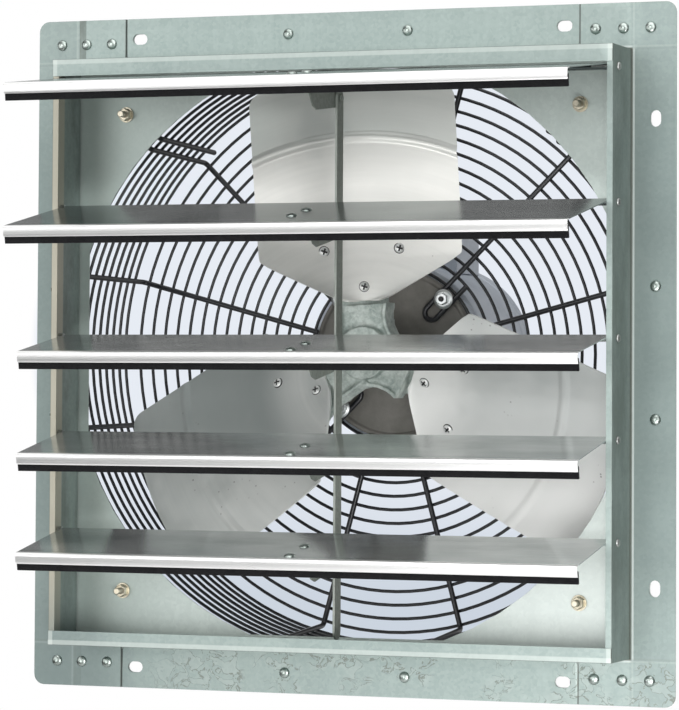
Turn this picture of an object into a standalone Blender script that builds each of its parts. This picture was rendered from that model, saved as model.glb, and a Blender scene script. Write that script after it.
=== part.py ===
"""Wall exhaust fan with a gravity shutter: sheet steel frame, five linked louvres, three-blade rotor and wire guard.

World frame: X to the right seen from the shutter side, Y from the shutter towards the motor, Z up.
The origin is the centre of the mounting flange, in the plane of its front face.
"""

import math

import bmesh
import bpy
from mathutils import Matrix, Vector

# Scene units are metres; sizes below are written in millimetres
MM = 0.001
CLEARANCE = 0.3 * MM          # gap left between pieces that seat on each other
OVERRUN = 4.0 * MM            # how far a cutter runs past the face that it cuts

# Shutter frame
SHEET = 1.0 * MM
FLANGE_HALF = 300.0 * MM      # the flange is square
FLANGE_CORNER = 9.5 * MM
FLANGE_WIDTH = 40.0 * MM      # how far the flange stands out round the shutter box
BOX_HALF = FLANGE_HALF - FLANGE_WIDTH
BOX_DEPTH = 56.0 * MM
SIDE_LIP = 5.5 * MM
TOP_FACE = 15.0 * MM
BOTTOM_FACE = 12.5 * MM
TAB_LENGTH = 86.0 * MM        # a corner tab's length along the flange's edge
TAB_REACH = FLANGE_HALF - TAB_LENGTH
JOGGLE_MARGIN = 6.0 * MM      # a rail's flange ends this far inside the tab's edges
SLOT_LENGTH = 14.4 * MM
SLOT_WIDTH = 9.6 * MM
SLOT_BEFORE_TAB = 14.0 * MM
SLOT_FROM_EDGE = 18.5 * MM
SLOT_ALONG = TAB_REACH - SLOT_BEFORE_TAB
SLOT_ACROSS = FLANGE_HALF - SLOT_FROM_EDGE

# Orifice panel, seated behind the flange's overlapping tabs
PANEL_FRONT = 2 * SHEET + 2 * CLEARANCE
PANEL_BACK = PANEL_FRONT + SHEET
PANEL_MARGIN = 4.0 * MM       # how far the panel's edge stays inside the flange's
PANEL_HALF = FLANGE_HALF - PANEL_MARGIN
PANEL_CORNER = 8.0 * MM
ORIFICE_EDGE = 10.5 * MM      # strip of panel left inside the shutter box at each flat
ORIFICE_FLAT = BOX_HALF - ORIFICE_EDGE
ORIFICE_BULGE = 16.0 * MM     # the round opening is cut off this far inside its own radius
ORIFICE_RADIUS = ORIFICE_FLAT + ORIFICE_BULGE
GUARD_BOLT_INSET = 82.2 * MM
GUARD_BOLT_OFFSET = PANEL_HALF - GUARD_BOLT_INSET
GUARD_BOLT_RADIUS = 3.0 * MM

# Louvres, listed from the top one down: two long ones and three short ones that fill the box's height
PIVOT_Y = -39.0 * MM
TOP_PIVOT_DROP = 18.0 * MM
SILL_GAP = 3.0 * MM           # from the lowest louvre's edge, closed, to the bottom of the box
PITCH_STEP = 29.0 * MM        # how much further apart the long louvres are than the short ones
LONG_OVERLAP = 12.0 * MM      # how far a closed louvre reaches past the next one's pivot
SHORT_OVERLAP = 11.0 * MM
SHORT_PITCH = (2 * BOX_HALF - TOP_PIVOT_DROP - SILL_GAP - SHORT_OVERLAP - 2 * PITCH_STEP) / 5
LONG_PITCH = SHORT_PITCH + PITCH_STEP
TOP_PIVOT = BOX_HALF - TOP_PIVOT_DROP
MIDDLE_PIVOT = TOP_PIVOT - 2 * LONG_PITCH
PIVOT_HEIGHTS = [
    TOP_PIVOT,
    TOP_PIVOT - LONG_PITCH,
    MIDDLE_PIVOT,
    MIDDLE_PIVOT - SHORT_PITCH,
    MIDDLE_PIVOT - 2 * SHORT_PITCH,
]
LONG_CHORD = LONG_PITCH + LONG_OVERLAP
SHORT_CHORD = SHORT_PITCH + SHORT_OVERLAP
CHORDS = [LONG_CHORD, LONG_CHORD, SHORT_CHORD, SHORT_CHORD, SHORT_CHORD]
DROOP_DEGREES = [6.5, 10.5, 9.5, 11.0, 11.0]
LOUVRE_HALF = BOX_HALF - SIDE_LIP
LOUVRE_SHEET = 0.8 * MM
CURL_RADIUS = 2.7 * MM        # to the middle of the rolled sheet
HEM_RADIUS = 2.4 * MM
LIP_HEIGHT = 9.7 * MM
LIP_RETURN = 1.6 * MM
SEAL_BELOW_LIP = 6.3 * MM
SEAL_BEHIND_LIP = 4.5 * MM
SEAL_THICKNESS = 2.4 * MM

# Louvre pivots
PIN_RADIUS = CURL_RADIUS - LOUVRE_SHEET / 2 - CLEARANCE
PIN_CLEARANCE = 0.25 * MM
PIN_IN_CURL = 18.0 * MM
BUSH_RADIUS = 4.2 * MM
PIN_HEAD_RADIUS = BUSH_RADIUS
PIN_HEAD_HEIGHT = 2.0 * MM

# Linkage
LINK_ARM_Y = 16.5 * MM        # pin of the tie bar, seen from the louvre's pivot, louvres open
LINK_ARM_Z = -20.0 * MM
TIE_BAR_WIDTH = 15.0 * MM
TIE_BAR_THICKNESS = 2.0 * MM
TIE_BAR_X = CLEARANCE         # left face of the bar
TIE_BAR_ABOVE = 8.0 * MM
TIE_BAR_FOOT_GAP = 10.0 * MM
TIE_BAR_FOOT = -BOX_HALF + TIE_BAR_FOOT_GAP
LINK_PIN_RADIUS = 2.0 * MM
LINK_HEAD_RADIUS = 3.6 * MM
LINK_HEAD_HEIGHT = 1.4 * MM
EAR_THICKNESS = 1.5 * MM
EAR_EYE = 8.0 * MM            # radius of the ear round the link pin
EAR_START = 62.0 * MM         # distance of the ear's front end from the pivot
EAR_BELLY = 16.0 * MM         # the ear's sloping front end, along the louvre
EAR_BELLY_START = EAR_START - EAR_BELLY
EAR_END = 9.0 * MM
STRAP_PAST_EAR = 30.0 * MM    # the riveted foot of the bracket reaches this far past the ear
STRAP_START = EAR_START + STRAP_PAST_EAR
STRAP_WIDTH = 18.0 * MM

# Motor
SHAFT_RADIUS = 7.2 * MM
MOTOR_FACE = 122.8 * MM
SHELL_RADIUS = 84.0 * MM
SHELL_LENGTH = 129.9 * MM
SHELL_WALL = 26.0 * MM        # as thick as the real shell and stator together
STATOR_BORE = SHELL_RADIUS - SHELL_WALL
BELL_STEP = 7.0 * MM
BELL_RADIUS = SHELL_RADIUS - BELL_STEP
BELL_DEPTH = 9.0 * MM
BELL_RIM = 4.0 * MM
BELL_RECESS = 2.0 * MM
BEARING_WALL = 12.8 * MM
BEARING_RADIUS = SHAFT_RADIUS + BEARING_WALL
BEARING_PROUD = 10.0 * MM
SHELL_START = MOTOR_FACE + BELL_DEPTH + CLEARANCE
SHELL_END = SHELL_START + SHELL_LENGTH
REAR_BELL_DEPTH = 18.0 * MM
REAR_BELL_TAPER = 22.0 * MM
REAR_BELL_SMALL = SHELL_RADIUS - REAR_BELL_TAPER
REAR_BOSS_RADIUS = 18.0 * MM
REAR_BOSS_HEIGHT = 5.0 * MM
MOTOR_BOLT_INSET = 7.0 * MM
MOTOR_BOLT_CIRCLE = BELL_RADIUS - MOTOR_BOLT_INSET
STUD_RADIUS = 2.5 * MM
TERMINAL_HALF = 38.0 * MM
TERMINAL_LENGTH = 64.0 * MM
TERMINAL_BEFORE_END = 12.0 * MM
TERMINAL_BACK = SHELL_END - TERMINAL_BEFORE_END
TERMINAL_FRONT = TERMINAL_BACK - TERMINAL_LENGTH
TERMINAL_HEIGHT = 38.0 * MM
TERMINAL_TOP = SHELL_RADIUS + TERMINAL_HEIGHT
TERMINAL_SINK = 20.0 * MM     # how far the box's block starts below the shell's top

# Wire guard, from the panel's back to the motor's face
SPOKE_RADIUS = 2.4 * MM
RING_RADIUS = 1.5 * MM
RING_SAG = 3.0 * MM           # how far a ring's flat sides may cut inside the true circle
WELD_SINK = 0.6 * MM          # how far a ring is fused into the spokes
WIRE_GAP = 0.4 * MM           # between a bolted wire and the face behind it
GUARD_OVERLAP = 2.7 * MM
GUARD_RADIUS = ORIFICE_RADIUS + GUARD_OVERLAP   # ring wire next to the panel, the widest
GUARD_TAPER = 8.0 * MM        # how far the side wall leans in from the panel to the face
SPOKE_FACE_Y = MOTOR_FACE - WIRE_GAP - SPOKE_RADIUS
SPOKE_BEND = 4.5 * MM
FIRST_RING_BEHIND = 4.4 * MM
GUARD_FIRST_RING = PANEL_BACK + FIRST_RING_BEHIND
GUARD_BEND_Y = SPOKE_FACE_Y - SPOKE_BEND
LAST_RING_BEFORE_BEND = 7.5 * MM
GUARD_LAST_RING = GUARD_BEND_Y - LAST_RING_BEFORE_BEND
WALL_RINGS = 9
FACE_RINGS = 15
FACE_INSET = 7.7 * MM
FACE_OUTER = GUARD_RADIUS - GUARD_TAPER - FACE_INSET
INNER_RING_GAP = 3.0 * MM
FACE_INNER = BELL_RADIUS + INNER_RING_GAP
SPOKE_PAST_RING = 4.0 * MM
SPOKE_INNER_END = FACE_INNER - SPOKE_PAST_RING
SPOKE_BEHIND = 1.6 * MM
SPOKE_WALL_START = PANEL_BACK + SPOKE_BEHIND
LEG_SPREAD = 1.2 * MM
HAIRPIN_HALF = GUARD_BOLT_RADIUS + SPOKE_RADIUS + LEG_SPREAD    # half the distance between a bolted wire's legs
HAIRPIN_PAST_STUD = 24.0 * MM
HAIRPIN_END = MOTOR_BOLT_CIRCLE - HAIRPIN_PAST_STUD
RETURN_PAST_RING = 13.0 * MM
RETURN_LEG_END = FACE_INNER + RETURN_PAST_RING
SHORT_LEG_BELOW_FACE = 2.0 * MM
SHORT_LEG_TOP = SPOKE_FACE_Y - SHORT_LEG_BELOW_FACE
FOOT_Y = PANEL_BACK + WIRE_GAP + SPOKE_RADIUS
FIRST_SPOKE_ANGLE = 15.0
SPOKE_STEP_ANGLE = 30.0

# Fasteners of the guard
FLANGE_NUT_RADIUS = HAIRPIN_HALF + SPOKE_RADIUS
FLANGE_NUT_RIM = 2.0 * MM
NUT_WALL = 2.8 * MM
NUT_RADIUS = GUARD_BOLT_RADIUS + NUT_WALL
NUT_HEIGHT = 5.0 * MM
STUD_PROUD = 1.5 * MM
BOLT_HEAD_HEIGHT = 4.0 * MM
WASHER_MARGIN = 1.2 * MM
WASHER_RADIUS = NUT_RADIUS + WASHER_MARGIN
CLAMP_MARGIN = 0.5 * MM
CLAMP_WASHER_RADIUS = FLANGE_NUT_RADIUS + CLAMP_MARGIN
CLAMP_WASHER = 1.2 * MM
BOLT_PROUD = 8.1 * MM
BOLT_TIP = PANEL_FRONT - CLEARANCE - CLAMP_WASHER - NUT_HEIGHT - BOLT_PROUD

# Rotor, inside the guard
ROTOR_ANGLE = 94.0            # degrees, first blade
BLADE_COUNT = 3
ROTOR_BEFORE_MOTOR = 70.3 * MM
ROTOR_Y = MOTOR_FACE - ROTOR_BEFORE_MOTOR       # where the blades' middle plane crosses the axis
HUB_WALL = 16.8 * MM
HUB_RADIUS = SHAFT_RADIUS + HUB_WALL
HUB_AHEAD = 12.5 * MM
HUB_FRONT = ROTOR_Y - HUB_AHEAD
HUB_LENGTH = 38.0 * MM
HUB_BACK = HUB_FRONT + HUB_LENGTH
SHAFT_PROUD = 12.0 * MM
SHAFT_FRONT = HUB_FRONT - SHAFT_PROUD
BLADE_SHEET = 1.5 * MM
TIP_GAP = 5.0 * MM
BLADE_TIP = GUARD_RADIUS - GUARD_TAPER - RING_RADIUS + WELD_SINK - 2 * SPOKE_RADIUS - TIP_GAP
ROOT_FROM_HUB = 23.0 * MM
BLADE_ROOT = HUB_RADIUS + ROOT_FROM_HUB
BLADE_ROOT_HALF = 17.0 * MM
SHOULDER_FROM_ROOT = 37.0 * MM
BLADE_SHOULDER = BLADE_ROOT + SHOULDER_FROM_ROOT
BLADE_SHOULDER_HALF = 80.0 * MM
BLADE_FLARE = 6.0 * MM
BLADE_TIP_HALF = BLADE_SHOULDER_HALF + BLADE_FLARE
BLADE_PITCH_ROOT = 30.0
BLADE_PITCH_TIP = 21.0
BLADE_CAMBER = 4.0 * MM
BEAD_FROM_TIP = 55.5 * MM
BEAD_RADIUS = BLADE_TIP - BEAD_FROM_TIP
BEAD_HALF_WIDTH = 6.0 * MM
BEAD_HEIGHT = 2.2 * MM
BLADE_ROOT_ROUND = 5.0 * MM
BLADE_SHOULDER_ROUND = 3.0 * MM
BLADE_TIP_ROUND = 9.0 * MM
BLADE_ROW_SHARES = (0.08, 0.14, 0.18, 0.24, 0.42, 0.62)
BLADE_ROUND_SHARES = (0.0, 0.3, 1.0)
BLADE_COLUMNS = 8
ARM_THICKNESS = 7.0 * MM
ARM_RIM_HEIGHT = 3.0 * MM
ARM_RIM_WIDTH = 3.5 * MM
ARM_NECK_HALF = HUB_RADIUS
NECK_PAST_ROOT = 3.0 * MM
ARM_NECK_AT = BLADE_ROOT + NECK_PAST_ROOT
ARM_PAD_HALF = 44.0 * MM
PAD_PAST_SHOULDER = 4.0 * MM
ARM_PAD_AT = BLADE_SHOULDER + PAD_PAST_SHOULDER
ARM_PAD_LENGTH = 20.0 * MM
ARM_END = ARM_PAD_AT + ARM_PAD_LENGTH
WEB_WALL = 6.0 * MM
WEB_WAIST = HUB_RADIUS + WEB_WALL               # least radius of the web, halfway between two arms
WEB_BEHIND_HUB = 6.0 * MM
WEB_FRONT = HUB_FRONT + WEB_BEHIND_HUB
WEB_BEFORE_BACK = 8.0 * MM
WEB_BACK = HUB_BACK - WEB_BEFORE_BACK
WEB_POCKET = 3.0 * MM

# Facets
FINE_SIDES = 32
ROUND_SIDES = 14
SMALL_SIDES = 8
HEX_SIDES = 6
RING_PROFILE = 3
WEB_STEPS = 6


def start_scene():
    """Empties the scene and returns the collections of the fan's parts and of the cutters."""
    for obj in list(bpy.data.objects):
        bpy.data.objects.remove(obj, do_unlink=True)
    parts = bpy.data.collections.new("Shutter exhaust fan")
    cutters = bpy.data.collections.new("Cutters")
    for collection in (parts, cutters):
        bpy.context.scene.collection.children.link(collection)
    return parts, cutters


PARTS, CUTTERS = start_scene()


def finish(name, color, metallic, roughness):
    """A Principled material."""
    material = bpy.data.materials.new(name)
    material.use_nodes = True
    shader = material.node_tree.nodes["Principled BSDF"]
    shader.inputs["Base Color"].default_value = (*color, 1.0)
    shader.inputs["Metallic"].default_value = metallic
    shader.inputs["Roughness"].default_value = roughness
    material.diffuse_color = (*color, 1.0)
    return material


GALVANISED = finish("Galvanised steel", (0.55, 0.60, 0.58), 0.8, 0.45)
ALUMINIUM = finish("Louvre aluminium", (0.72, 0.73, 0.73), 0.9, 0.3)
BLADE_METAL = finish("Blade aluminium", (0.70, 0.70, 0.68), 0.9, 0.4)
CAST_METAL = finish("Cast aluminium", (0.50, 0.53, 0.50), 0.7, 0.6)
BLACK_WIRE = finish("Black coated wire", (0.02, 0.02, 0.025), 0.2, 0.4)
FELT = finish("Black felt", (0.015, 0.015, 0.015), 0.0, 0.95)
YELLOW_ZINC = finish("Yellow zinc", (0.62, 0.50, 0.24), 0.9, 0.35)
BRIGHT_ZINC = finish("Bright zinc", (0.75, 0.76, 0.76), 0.9, 0.3)
MOTOR_PAINT = finish("Motor grey", (0.35, 0.38, 0.40), 0.5, 0.5)
STEEL = finish("Bright steel", (0.60, 0.60, 0.60), 1.0, 0.3)


def keep(obj, name, material):
    """Names the object, gives it its material and puts it with the fan's parts."""
    obj.name = name
    obj.data.name = name
    obj.data.materials.clear()
    obj.data.materials.append(material)
    for collection in list(obj.users_collection):
        collection.objects.unlink(obj)
    PARTS.objects.link(obj)
    return obj


def from_bmesh(mesh_data, name="piece"):
    """An object of the working mesh, with its normals facing out."""
    mesh_data.normal_update()
    bmesh.ops.recalc_face_normals(mesh_data, faces=mesh_data.faces)
    mesh = bpy.data.meshes.new(name)
    mesh_data.to_mesh(mesh)
    mesh_data.free()
    obj = bpy.data.objects.new(name, mesh)
    PARTS.objects.link(obj)
    return obj


def block(low, high):
    """A box between two corners."""
    work = bmesh.new()
    bmesh.ops.create_cube(work, size=1.0)
    size = [b - a for a, b in zip(low, high)]
    middle = [(a + b) / 2 for a, b in zip(low, high)]
    bmesh.ops.scale(work, vec=size, verts=work.verts)
    bmesh.ops.translate(work, vec=middle, verts=work.verts)
    return from_bmesh(work)


AXIS_TURNS = {
    "X": Matrix.Rotation(math.radians(90), 4, "Y"),
    "Y": Matrix.Rotation(math.radians(-90), 4, "X"),
    "Z": Matrix.Identity(4),
}


def cylinder(axis, start, end, centre, radius, sides=ROUND_SIDES, end_radius=None, turn=0.0):
    """A cylinder or cone along a world axis, from start to end; centre gives the other two coordinates."""
    work = bmesh.new()
    bmesh.ops.create_cone(
        work,
        cap_ends=True,
        segments=sides,
        radius1=radius,
        radius2=radius if end_radius is None else end_radius,
        depth=end - start,
    )
    middle = (start + end) / 2
    places = {"X": (middle, *centre), "Y": (centre[0], middle, centre[1]), "Z": (*centre, middle)}
    spin = Matrix.Rotation(math.radians(turn), 4, "Z")
    work.transform(Matrix.Translation(places[axis]) @ AXIS_TURNS[axis] @ spin)
    return from_bmesh(work)


def prism(outline, axis, start, end):
    """A flat outline extruded along a world axis. Its points are the other two coordinates, in X, Y, Z order."""
    data = bpy.data.curves.new("outline", "CURVE")
    data.dimensions = "2D"
    data.fill_mode = "BOTH"
    data.extrude = (end - start) / 2
    spline = data.splines.new("POLY")
    spline.points.add(len(outline) - 1)
    for spot, (a, b) in zip(spline.points, outline):
        spot.co = (a, b, 0.0, 1.0)
    spline.use_cyclic_u = True
    turns = {
        "X": Matrix(((0, 0, 1, 0), (1, 0, 0, 0), (0, 1, 0, 0), (0, 0, 0, 1))),
        "Y": Matrix(((1, 0, 0, 0), (0, 0, 1, 0), (0, 1, 0, 0), (0, 0, 0, 1))),
        "Z": Matrix.Identity(4),
    }
    obj = curve_to_mesh(data)
    middle = Vector([(start + end) / 2 if axis == letter else 0.0 for letter in "XYZ"])
    obj.data.transform(Matrix.Translation(middle) @ turns[axis])
    face_out(obj)
    return obj


def curve_to_mesh(data):
    """Turns a curve, with its caps welded, into a mesh object and removes the curve."""
    curve = bpy.data.objects.new(data.name, data)
    PARTS.objects.link(curve)
    graph = bpy.context.evaluated_depsgraph_get()
    mesh = bpy.data.meshes.new_from_object(curve.evaluated_get(graph))
    obj = bpy.data.objects.new(data.name, mesh)
    PARTS.objects.link(obj)
    bpy.data.objects.remove(curve, do_unlink=True)
    face_out(obj)
    return obj


def turned(profile, sides):
    """A closed profile of (radius, y) points turned round the fan's axis."""
    work = bmesh.new()
    points = [work.verts.new((radius, y, 0.0)) for radius, y in profile]
    for a, b in zip(points, points[1:] + points[:1]):
        work.edges.new((a, b))
    mesh = bpy.data.meshes.new("profile")
    work.to_mesh(mesh)
    work.free()
    obj = bpy.data.objects.new("profile", mesh)
    PARTS.objects.link(obj)
    screw = obj.modifiers.new("Turn", "SCREW")
    screw.axis = "Y"
    screw.steps = screw.render_steps = sides
    screw.use_merge_vertices = True
    screw.merge_threshold = CLEARANCE / 10
    apply_modifiers(obj)
    face_out(obj)
    return obj


def face_out(obj):
    """Merges doubles and turns every face outwards."""
    work = bmesh.new()
    work.from_mesh(obj.data)
    bmesh.ops.remove_doubles(work, verts=work.verts, dist=CLEARANCE / 100)
    work.normal_update()
    bmesh.ops.recalc_face_normals(work, faces=work.faces)
    work.to_mesh(obj.data)
    work.free()


def apply_modifiers(obj):
    """Makes the evaluated mesh the object's own."""
    graph = bpy.context.evaluated_depsgraph_get()
    mesh = bpy.data.meshes.new_from_object(obj.evaluated_get(graph))
    obj.modifiers.clear()
    obj.data = mesh


def combine(target, others, operation):
    """Adds the others to the target, or cuts them from it, and removes them."""
    for other in others:
        step = target.modifiers.new("Boolean", "BOOLEAN")
        step.operation = operation
        step.solver = "EXACT"
        step.object = other
        for collection in list(other.users_collection):
            collection.objects.unlink(other)
        CUTTERS.objects.link(other)
        other.hide_render = True
        other.display_type = "WIRE"
        apply_modifiers(target)
        bpy.data.objects.remove(other, do_unlink=True)
    return target


def fuse(target, *others):
    return combine(target, others, "UNION")


def cut(target, *others):
    return combine(target, others, "DIFFERENCE")


def sheet_along_x(path, x_start, x_end, thickness):
    """A bent sheet: a path of (y, z) points through its middle, drawn out along X and thickened."""
    work = bmesh.new()
    points = [work.verts.new((x_start, y, z)) for y, z in path]
    edges = [work.edges.new((a, b)) for a, b in zip(points, points[1:])]
    drawn = bmesh.ops.extrude_edge_only(work, edges=edges)
    moved = [item for item in drawn["geom"] if isinstance(item, bmesh.types.BMVert)]
    bmesh.ops.translate(work, vec=(x_end - x_start, 0.0, 0.0), verts=moved)
    obj = from_bmesh(work, "sheet")
    solid = obj.modifiers.new("Sheet", "SOLIDIFY")
    solid.thickness = thickness
    solid.offset = 0.0
    solid.use_even_offset = True
    apply_modifiers(obj)
    face_out(obj)
    return obj


def arc(centre, radius, from_degrees, to_degrees, steps):
    """Points along an arc, both ends included."""
    return [
        (
            centre[0] + radius * math.cos(math.radians(from_degrees + (to_degrees - from_degrees) * i / steps)),
            centre[1] + radius * math.sin(math.radians(from_degrees + (to_degrees - from_degrees) * i / steps)),
        )
        for i in range(steps + 1)
    ]


def rounded_rectangle(a_low, b_low, a_high, b_high, radius, steps=3):
    """Outline of a rectangle with round corners."""
    return (
        arc((a_high - radius, b_high - radius), radius, 0, 90, steps)
        + arc((a_low + radius, b_high - radius), radius, 90, 180, steps)
        + arc((a_low + radius, b_low + radius), radius, 180, 270, steps)
        + arc((a_high - radius, b_low + radius), radius, 270, 360, steps)
    )


def slot_cutter(x, z, along_x):
    """A round-ended slot through the flange."""
    half_a, half_b = SLOT_LENGTH / 2, SLOT_WIDTH / 2
    if not along_x:
        half_a, half_b = half_b, half_a
    outline = rounded_rectangle(x - half_a, z - half_b, x + half_a, z + half_b, SLOT_WIDTH / 2 - CLEARANCE / 10)
    return prism(outline, "Y", -OVERRUN, SHEET + OVERRUN)


def frame_side(name, sign):
    """One side of the shutter frame: flange with its two corner tabs, wall and front lip."""
    edge, wall, tab = FLANGE_HALF, BOX_HALF, TAB_REACH
    corner = arc((edge - FLANGE_CORNER, edge - FLANGE_CORNER), FLANGE_CORNER, 0, 90, 5)
    upper = [(wall - SHEET, BOX_HALF + CLEARANCE), (tab, BOX_HALF + CLEARANCE), (tab, edge)]
    half = upper[1:] + corner[::-1]
    outline = half + [(x, -z) for x, z in half[::-1]]
    outline += [(wall - SHEET, -BOX_HALF - CLEARANCE), (wall - SHEET, BOX_HALF + CLEARANCE)]
    flange = prism([(sign * x, z) for x, z in outline], "Y", 0.0, SHEET)
    front = -BOX_DEPTH + SHEET + CLEARANCE
    lows = (sign * (wall - SHEET), front, -BOX_HALF)
    highs = (sign * wall, SHEET / 2, BOX_HALF)
    body = block([min(a, b) for a, b in zip(lows, highs)], [max(a, b) for a, b in zip(lows, highs)])
    inner = BOX_HALF - SHEET - CLEARANCE
    lows = (sign * (wall - SIDE_LIP), front, -inner)
    highs = (sign * (wall - SHEET / 2), front + SHEET, inner)
    lip = block([min(a, b) for a, b in zip(lows, highs)], [max(a, b) for a, b in zip(lows, highs)])
    side = fuse(flange, body, lip)
    holes = [
        cylinder("X", sign * wall - OVERRUN, sign * wall + OVERRUN, (PIVOT_Y, z), PIN_RADIUS + PIN_CLEARANCE, SMALL_SIDES)
        for z in PIVOT_HEIGHTS
    ]
    slots = [slot_cutter(sign * SLOT_ACROSS, z, False) for z in (-SLOT_ALONG, SLOT_ALONG)]
    return keep(cut(side, *holes, *slots), name, GALVANISED)


def frame_rail(name, sign, face_height):
    """The top or bottom of the shutter frame: joggled flange strip, wall and front face."""
    joggle = SHEET + CLEARANCE
    reach = FLANGE_HALF - FLANGE_CORNER
    inner = TAB_REACH - CLEARANCE
    bend = inner - joggle - SHEET
    plan = [
        (-inner, joggle), (-bend, 0.0), (bend, 0.0), (inner, joggle), (reach, joggle), (reach, joggle + SHEET),
        (inner - SHEET, joggle + SHEET), (bend - SHEET, SHEET), (-bend + SHEET, SHEET),
        (-inner + SHEET, joggle + SHEET), (-reach, joggle + SHEET), (-reach, joggle),
    ]
    z_wall, z_edge = sign * (BOX_HALF - SHEET), sign * FLANGE_HALF
    z_tab = sign * (BOX_HALF + JOGGLE_MARGIN)
    strip = prism(plan, "Z", min(z_wall, z_edge), max(z_wall, z_edge))
    wall_x = BOX_HALF - SHEET - CLEARANCE
    trims = []
    for side in (-1, 1):
        xs = sorted((side * (inner - SHEET), side * (reach + OVERRUN)))
        zs = sorted((z_wall - sign * OVERRUN, z_tab))
        trims.append(block((xs[0], -OVERRUN, zs[0]), (xs[1], joggle + SHEET + OVERRUN, zs[1])))
    cut(strip, *trims)
    zs = sorted((sign * (BOX_HALF - SHEET), sign * BOX_HALF))
    wall = block((-wall_x, -BOX_DEPTH + SHEET / 2, zs[0]), (wall_x, SHEET / 2, zs[1]))
    zs = sorted((sign * (BOX_HALF - face_height), sign * BOX_HALF))
    face = block((-BOX_HALF, -BOX_DEPTH, zs[0]), (BOX_HALF, -BOX_DEPTH + SHEET, zs[1]))
    rail = fuse(strip, wall, face)
    slots = [slot_cutter(x, sign * SLOT_ACROSS, True) for x in (-SLOT_ALONG, SLOT_ALONG)]
    return keep(cut(rail, *slots), name, GALVANISED)


def orifice_panel():
    """The square back panel with its round opening, cut off flat at the four sides."""
    outline = rounded_rectangle(-PANEL_HALF, -PANEL_HALF, PANEL_HALF, PANEL_HALF, PANEL_CORNER)
    panel = prism(outline, "Y", PANEL_FRONT, PANEL_BACK)
    flat_angle = math.degrees(math.acos(ORIFICE_FLAT / ORIFICE_RADIUS))
    opening = []
    for quarter in range(4):
        start = 90 * quarter + flat_angle
        opening += arc((0.0, 0.0), ORIFICE_RADIUS, start, start + 90 - 2 * flat_angle, FINE_SIDES // 4)
    hole = prism(opening, "Y", PANEL_FRONT - OVERRUN, PANEL_BACK + OVERRUN)
    bolt_holes = [
        cylinder("Y", PANEL_FRONT - OVERRUN, PANEL_BACK + OVERRUN, (x, z), GUARD_BOLT_RADIUS + CLEARANCE, SMALL_SIDES)
        for x, z in corner_places(GUARD_BOLT_OFFSET)
    ]
    slots = []
    for side in (-1, 1):
        for along in (-SLOT_ALONG, SLOT_ALONG):
            slots.append(slot_cutter(along, side * SLOT_ACROSS, True))
            slots.append(slot_cutter(side * SLOT_ACROSS, along, False))
    return keep(cut(panel, hole, *bolt_holes, *slots), "orifice_panel", GALVANISED)


def corner_places(offset):
    """The four corners of a centred square: upper right, upper left, lower left, lower right."""
    return [(offset, offset), (-offset, offset), (-offset, -offset), (offset, -offset)]


def hinge(obj, index):
    """Turns a piece drawn with its louvre level into the louvre's open rest position."""
    pivot = Vector((0.0, PIVOT_Y, PIVOT_HEIGHTS[index]))
    turn = Matrix.Rotation(math.radians(DROOP_DEGREES[index]), 4, "X")
    obj.data.transform(Matrix.Translation(pivot) @ turn)
    return obj


def rest_on_pivot(obj, index):
    """Moves an object's origin onto its louvre's pivot axis, leaving the shape where it is."""
    pivot = Vector((0.0, PIVOT_Y, PIVOT_HEIGHTS[index]))
    obj.data.transform(Matrix.Translation(-pivot))
    obj.location = pivot
    return obj


def louvre(index):
    """An aluminium louvre: rolled hinge edge, flat blade, rounded hem and front lip."""
    chord = CHORDS[index]
    top = CURL_RADIUS
    curl = arc((0.0, 0.0), CURL_RADIUS, -170, 90, 9)
    hem = arc((-chord + HEM_RADIUS, top - HEM_RADIUS), HEM_RADIUS, 90, 180, 4)
    foot = top + LOUVRE_SHEET / 2 - LIP_HEIGHT
    lip = [(-chord, foot + LIP_RETURN), (-chord + LIP_RETURN / 2, foot)]
    obj = sheet_along_x(curl + hem + lip, -LOUVRE_HALF, LOUVRE_HALF, LOUVRE_SHEET)
    return keep(rest_on_pivot(hinge(obj, index), index), f"louvre_{index + 1}", ALUMINIUM)


def felt_seal(index):
    """The felt strip behind a louvre's lip."""
    chord = CHORDS[index]
    foot = CURL_RADIUS + LOUVRE_SHEET / 2 - LIP_HEIGHT
    near = -chord + LIP_RETURN / 2 + LOUVRE_SHEET / 2 + CLEARANCE
    low = (-LOUVRE_HALF, near, foot - SEAL_BELOW_LIP)
    high = (LOUVRE_HALF, near + SEAL_THICKNESS, foot + SEAL_BEHIND_LIP)
    obj = hinge(block(low, high), index)
    return keep(rest_on_pivot(obj, index), f"felt_seal_{index + 1}", FELT)


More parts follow.
